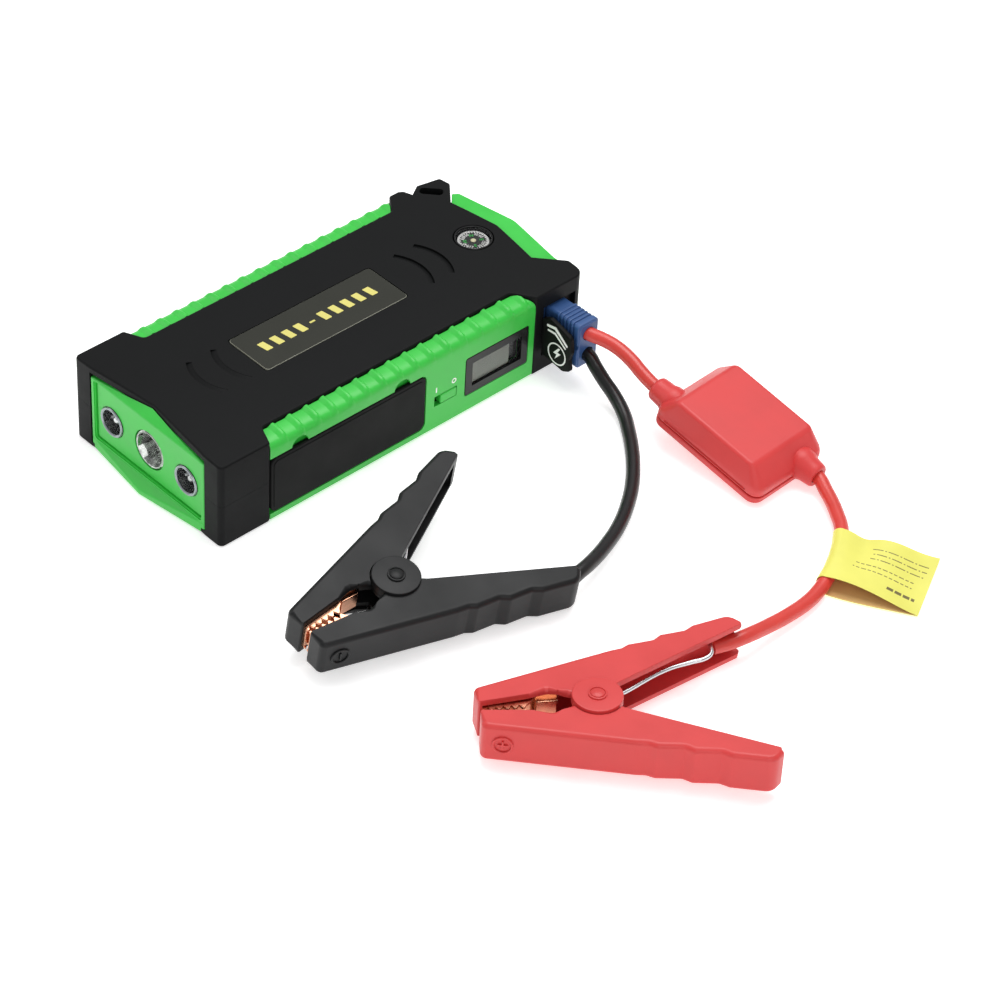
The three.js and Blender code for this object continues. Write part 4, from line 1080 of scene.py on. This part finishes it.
# In a clamp's own frame the pivot is the origin, the handles point along +X and the jaws along -X.
BACK = [(-41.7, 9.9, 2.6), (8.8, 24.4, 12), (12.9, 25.2, 2.6), (15.6, 26.9, 2.6),
        (24.8, 28.3, 2.6), (27.8, 30.7, 2.6), (36.8, 32.1, 2.6), (40, 34.4, 2.6),
        (54.1, 38.4, 4.6)]
INNER = [(-40.8, 1.9, 0.8), (-23.2, 4, 3), (-16.6, 5.5, 3), (-13, 4.9, 2), (-9.8, 3, 1), (0, 0, 1),
         (9, 6.7, 1), (57.2, 32.2, 1.2)]
HALF = 8.0


def rounding(x, y):
    """Full where a cheek turns over into the back, the nose or the handle's end."""
    back = y > 0.53 * x + 5 if x > -12 else y > 5 or x < -41.2
    return 1.0 if back or x > 57.4 else 0.15


def channel(is_open):
    inside = [(x, y - 2.7) for x, y, _ in reversed(BACK) if -40 < x < 50]
    end = [(60, -12), (60, 37), (54.1, 35.7)] if is_open else [(54.4, -12), (54.4, 32), (51.6, 35)]
    outline = end + inside + [(-39.4, 7.9), (-39.4, -12)]
    return extrude(outline, -5.8, 5.8)


def disc(radius, low, high, soft=0.55):
    return lathe([(0, low), (radius - 0.2, low), (radius, low + 0.2), (radius, high - soft),
                  (radius - 0.3 * soft, high - 0.3 * soft), (radius - soft, high), (0, high)])


def both_faces(make):
    second = make()
    moved(second, Matrix.Diagonal((1, 1, -1, 1)))
    return [make(), second]


def half_shell(fixed):
    made = cushion(fillet(list(reversed(BACK)) + INNER + [(58.3, 34.1, 3)], 0, 6), HALF, 1.9,
                   rounding)
    bore = extrude(circle(2.2, sides=32), -12, 12)
    if fixed:
        cut(made, channel(True))
        join(made, *both_faces(lambda: disc(9, 5.8, 9.25)))
        notch = extrude(fillet([(53, 30), (62, 30), (62, 36), (55, 34.4)], 0.8), -3.4, 3.4)
        return cut(made, bore, notch)
    cut(made, channel(False), *both_faces(lambda: disc(9.4, 5.7, 12)))
    ears = both_faces(lambda: disc(8.5, 3.4, 5.5))
    web = [(-12, 5.4), (-8, 3.2), (8, 5.6), (13, 10.2), (13, 24), (-12, 18)]
    webs = both_faces(lambda: extrude(web, 3.4, 5.5))
    ties = both_faces(lambda: extrude([(-12, 11.5), (13, 12.5), (13, 24), (-12, 18)], 4.8, 6.8))
    join(made, *ears, *webs, *ties)
    return cut(made, bore)


def polarity_ring(plus):
    """A raised ring with a plus or minus sign in it, on the back near the nose."""
    ring = lathe([(2.9, -0.2), (3.7, -0.2), (3.7, 0.4), (3.5, 0.6), (3.1, 0.6), (2.9, 0.4)], 40)
    if plus:
        quarter = [(0.32, 0.32), (0.32, 1.8), (-0.32, 1.8)]
        outline = [tuple(Matrix.Rotation(math.pi / 2 * i, 2) @ Vector(p)) for i in range(4)
                   for p in quarter]
    else:
        outline = rectangle((-1.8, 1.8), (-0.32, 0.32), 0.2)
    mark = gathered([ring, extrude(outline, -0.2, 0.6)])
    slope = math.degrees(math.atan2(14.5, 50.5))
    place = shift(-34.5, 9.9 + 7.2 * 0.287 + 0.05, 0) @ turn(slope, "Z") @ turn(-90, "X")
    return moved(mark, place @ turn(0 if plus else 90, "Z"))


def jaw_strip():
    teeth = []
    for number in range(6):
        x = -39.4 + 2.75 * number
        teeth += [(x, 0.35), (x + 0.5, 0.35), (x + 1.75, 2.1)]
    back = [(-22.4, 3.2), (-21, 5.2), (-24, 6.2), (-39.4, 5.6)]
    sides = both_faces(lambda: extrude(teeth + back, 4.3, 5.2))
    base = extrude([(-39.4, 4.7), (-24, 5.3), (-20, 6.8), (-12.6, 6.6), (-12.6, 7.4), (-20, 7.6),
                    (-24, 6.2), (-39.4, 5.6)], -5.2, 5.2)
    tab = fillet([(-20.4, 4.4), (-13.0, 4.4), (-12.6, 5.2), (-12.6, 7.2), (-20.4, 7.2)], 0.5)
    tab = extrude(tab, -3.6, 3.6)
    bevel(tab, 0.4, 2)
    made = join(base, *sides, tab)
    nose = extrude([(-39.5, 0.9), (-38.7, 0.9), (-38.7, 5.4), (-39.5, 5.4)], -5.0, 5.0)
    return bevel(join(made, nose), 0.12, 1, angle=40)


def spring_wire(name, fixed):
    """Torsion spring round the rivet. The leg in the fixed handle ends in a hook by the lead."""
    hook = [(28.4, 17.2, 2.8), (37.0, 19.2, 3.4), (42.4, 20.2, 3.9), (44.6, 22.0, 4.2),
            (45.2, 25.6, 4.3), (45.0, 29.4, 3.6), (44.0, 31.4, 2.4)]
    hidden = [(20, 16, 2.0), (30, 23.5, 1.4), (40, 28.5, 0.8)]
    upper, lower = (hook, hidden) if fixed > 0 else (hidden, hook)
    points = [(x, -y, -z) for x, y, z in reversed(lower)]
    start, sweep = math.radians(52.5 - 115), math.radians(975 - 130)
    points.append((9, -6.2, -2.4))
    for step in range(29):
        angle = start + sweep * step / 28 + math.radians(115)
        points.append((4.2 * math.cos(angle), 4.2 * math.sin(angle), -2.4 + 4.8 * step / 28))
    points.append((9, 6.2, 2.4))
    points += upper
    return wire(name, points, 1.6, 6)


def add_clamp(colour):
    material = BLACK_GRIP if colour == "black" else RED_GRIP
    place = clamp_matrix(colour)
    side = CLAMPS[colour]["fixed"]
    arm = f"{colour}_clamp_arm"

    def on_side(piece, which):
        return moved(piece, place if which > 0 else place @ turn(180, "X"))

    done(on_side(half_shell(True), side), f"{colour}_fixed_grip", material,
         f"{colour}_fixed_handle", body="lead_set", smooth=40)
    done(on_side(half_shell(False), -side), f"{colour}_moving_grip", material,
         f"{colour}_moving_handle", body=arm, smooth=40)
    for which, body, word in ((side, "lead_set", "fixed"), (-side, arm, "moving")):
        done(on_side(jaw_strip(), which), f"{colour}_{word}_teeth", COPPER, f"{colour}_{word}_jaw",
             body=body)
        done(on_side(polarity_ring(colour == "red"), which), f"{colour}_{word}_sign", material,
             body=body)
    head = [(2.1, 9.2), (3.3, 9.2), (3.3, 9.7), (3.1, 9.85), (2.8, 9.85), (2.7, 9.5), (2.55, 9.5),
            (2.45, 9.8), (2.2, 10.0), (0, 10.05)]
    rivet = lathe([(0, -10.05), *[(r, -z) for r, z in reversed(head[:-1])], *head], 40)
    done(moved(rivet, place), f"{colour}_pin", material, f"{colour}_rivet", body="lead_set",
         smooth=50)
    coil = wire_mesh(spring_wire(f"{colour}_torsion", side))
    moved(coil, place)
    done(coil, f"{colour}_torsion", STEEL, f"{colour}_spring", body=None, smooth=60)
    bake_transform(coil)


# ------------------------------------------------------------------ tag

TAG_LINE = [(185.3, 85.6, 3.8), (189.2, 80.7, 3.8), (192.9, 74.9, 3.75), (196.2, 68.7, 3.7),
            (199.0, 61.9, 3.45)]
TAG_FAR = [(216.1, 106.1), (231.3, 77.0)]
TAG_THICK = 0.22
TAG_ROWS, LEAF, WRAP, UNDER = 64, 56, 14, 14


def tag_section(share):
    """One crossing: in along the upper leaf, round the lead, and out along the lower."""
    place = share * (len(TAG_LINE) - 1)
    first = min(int(place), len(TAG_LINE) - 2)
    centre = Vector(TAG_LINE[first]).lerp(Vector(TAG_LINE[first + 1]), place - first)
    far = Vector(TAG_FAR[0]).lerp(Vector(TAG_FAR[1]), share)
    along = Vector((far.x - centre.x, far.y - centre.y, 0))
    reach = along.length
    along.normalize()
    line = []
    for step in range(LEAF):
        out = 1 - step / LEAF
        height = 3.1 - 5.6 * out * out * (3 - 2 * out) + 1.7 * share ** 3 * math.sin(math.pi * out)
        height -= 2.3 * (1 - share) * math.exp(-((out - 0.24) / 0.13) ** 2)
        height += 1.2 * (1 - share) * math.exp(-((out - 0.58) / 0.2) ** 2)
        line.append((reach * out, height))
    for step in range(WRAP + 1):
        angle = math.radians(84 + 200 * step / WRAP)
        line.append((3.12 * math.cos(angle), 3.12 * math.sin(angle)))
    for step in range(1, UNDER + 1):
        line.append((reach * 0.985 * step / UNDER + 0.4,
                     -3.03 + 0.2 * math.sin(2.6 * step / UNDER)))
    sideways = Vector((along.y, -along.x, 0))
    outer, inner = [], []
    for i, (d, h) in enumerate(line):
        before, after = Vector(line[max(i - 1, 0)]), Vector(line[min(i + 1, len(line) - 1)])
        heading = (after - before).normalized()
        normal = Vector((heading.y, -heading.x))
        under = max(0.0, (i - LEAF - WRAP + 3) / (UNDER + 3))
        drift = 3.0 * share ** 2 * math.sin(math.pi * under ** 0.6)
        for row, gap in ((outer, 0.0), (inner, TAG_THICK)):
            u, v = d + normal.x * -gap, h + normal.y * -gap
            row.append(tuple(centre + along * u + sideways * drift + Vector((0, 0, v))))
    return outer, inner


def is_printed(row, column):
    """Broken lines that stand in for the print, and one heavier line near the lower edge."""
    out = 1 - column / LEAF
    if 50 <= row <= 52:
        return 0.6 < out < 0.92 and column % 5 != 2
    if row in (13, 19, 25):
        return 0.34 < out < 0.94 and (column * 5 + row) % 9 > 1
    return row in (34, 40) and 0.2 < out < 0.84 and (column * 7 + row) % 10 > 2


def add_tag():
    sections = [tag_section(i / TAG_ROWS) for i in range(TAG_ROWS + 1)]
    across = len(sections[0][0])
    outer = [p for section in sections for p in section[0]]
    inner = [p for section in sections for p in section[1]]
    count = len(outer)
    faces, inks = [], []
    for r in range(TAG_ROWS):
        for c in range(across - 1):
            a, b = r * across + c, r * across + c + 1
            d, e = b + across, a + across
            faces += [(a, b, d, e), (count + e, count + d, count + b, count + a)]
            inks += [2 if c < LEAF and is_printed(r, c) else 0, 1]
    last = TAG_ROWS * across
    rim = list(range(across)) + [r * across + across - 1 for r in range(1, TAG_ROWS + 1)]
    rim += [last + c for c in range(across - 2, -1, -1)]
    rim += [r * across for r in range(TAG_ROWS - 1, 0, -1)]
    faces += [(b, a, a + count, b + count) for a, b in zip(rim, rim[1:] + rim[:1])]
    tag = recalculated(mesh_piece("tag", outer + inner, faces))
    done(tag, "tag_slip", TAG, "lead_tag", body="lead_set", smooth=60)
    tag.data.materials.append(TAG_TAN)
    tag.data.materials.append(TAG_INK)
    for face, ink in zip(tag.data.polygons, inks):
        face.material_index = ink


# ------------------------------------------------------------------ inside

def add_inside():
    for number in range(3):
        low = 4 + 9.2 * number
        cell = extrude(rectangle((-28.4, 26.4), (-65.9, 35.9), 2.5), low + 0.05, low + 8.55)
        bevel(cell, 1.1, 3, choose=lambda a, b: abs(a.z - b.z) < 0.1)
        tabs = [bevel(block((x - 4, x + 4), (35.5, 38.4), (low + 3.4, low + 4.2)), 0.1, 1)
                for x in (-16, 14)]
        done(join(cell, *tabs), f"cell_pouch_{number + 1}", CELL, f"battery_cell_{number + 1}")
    board = bevel(block((-19, 20), (39, 78), (6, 7.6)), 0.2, 1)
    chips = [block((-15, -6), (44, 56), (7, 13)), block((0, 14), (46, 60), (7, 9.4))]
    for chip in chips:
        bevel(chip, 0.5, 2)
    cans = [moved(lathe([(0, 7), (4, 7), (4, 16.4), (3.5, 17), (0, 16.8)], 40), shift(x, y, 0))
            for x, y in ((-11, 67), (1, 69))]
    done(join(board, *chips, *cans), "power_board", BOARD, "control_board")
    plate = bevel(block((-28.6, 28.6), (-79.4, -78.2), (9, 28)), 0.2, 1)
    done(plate, "lamp_plate", BOARD, "lamp_board")


# ------------------------------------------------------------------ assembly

add_camera()
add_studio()
leads = add_leads()
add_shells()
add_side_panels()
add_tail_panel()
add_lamp_panel()
add_lamps()
add_compass()
add_label()
add_ports()
add_switch()
add_display()
add_jump_socket()
add_flap()
add_plug()
add_box()
add_clamp("black")
add_clamp("red")
add_tag()
add_inside()
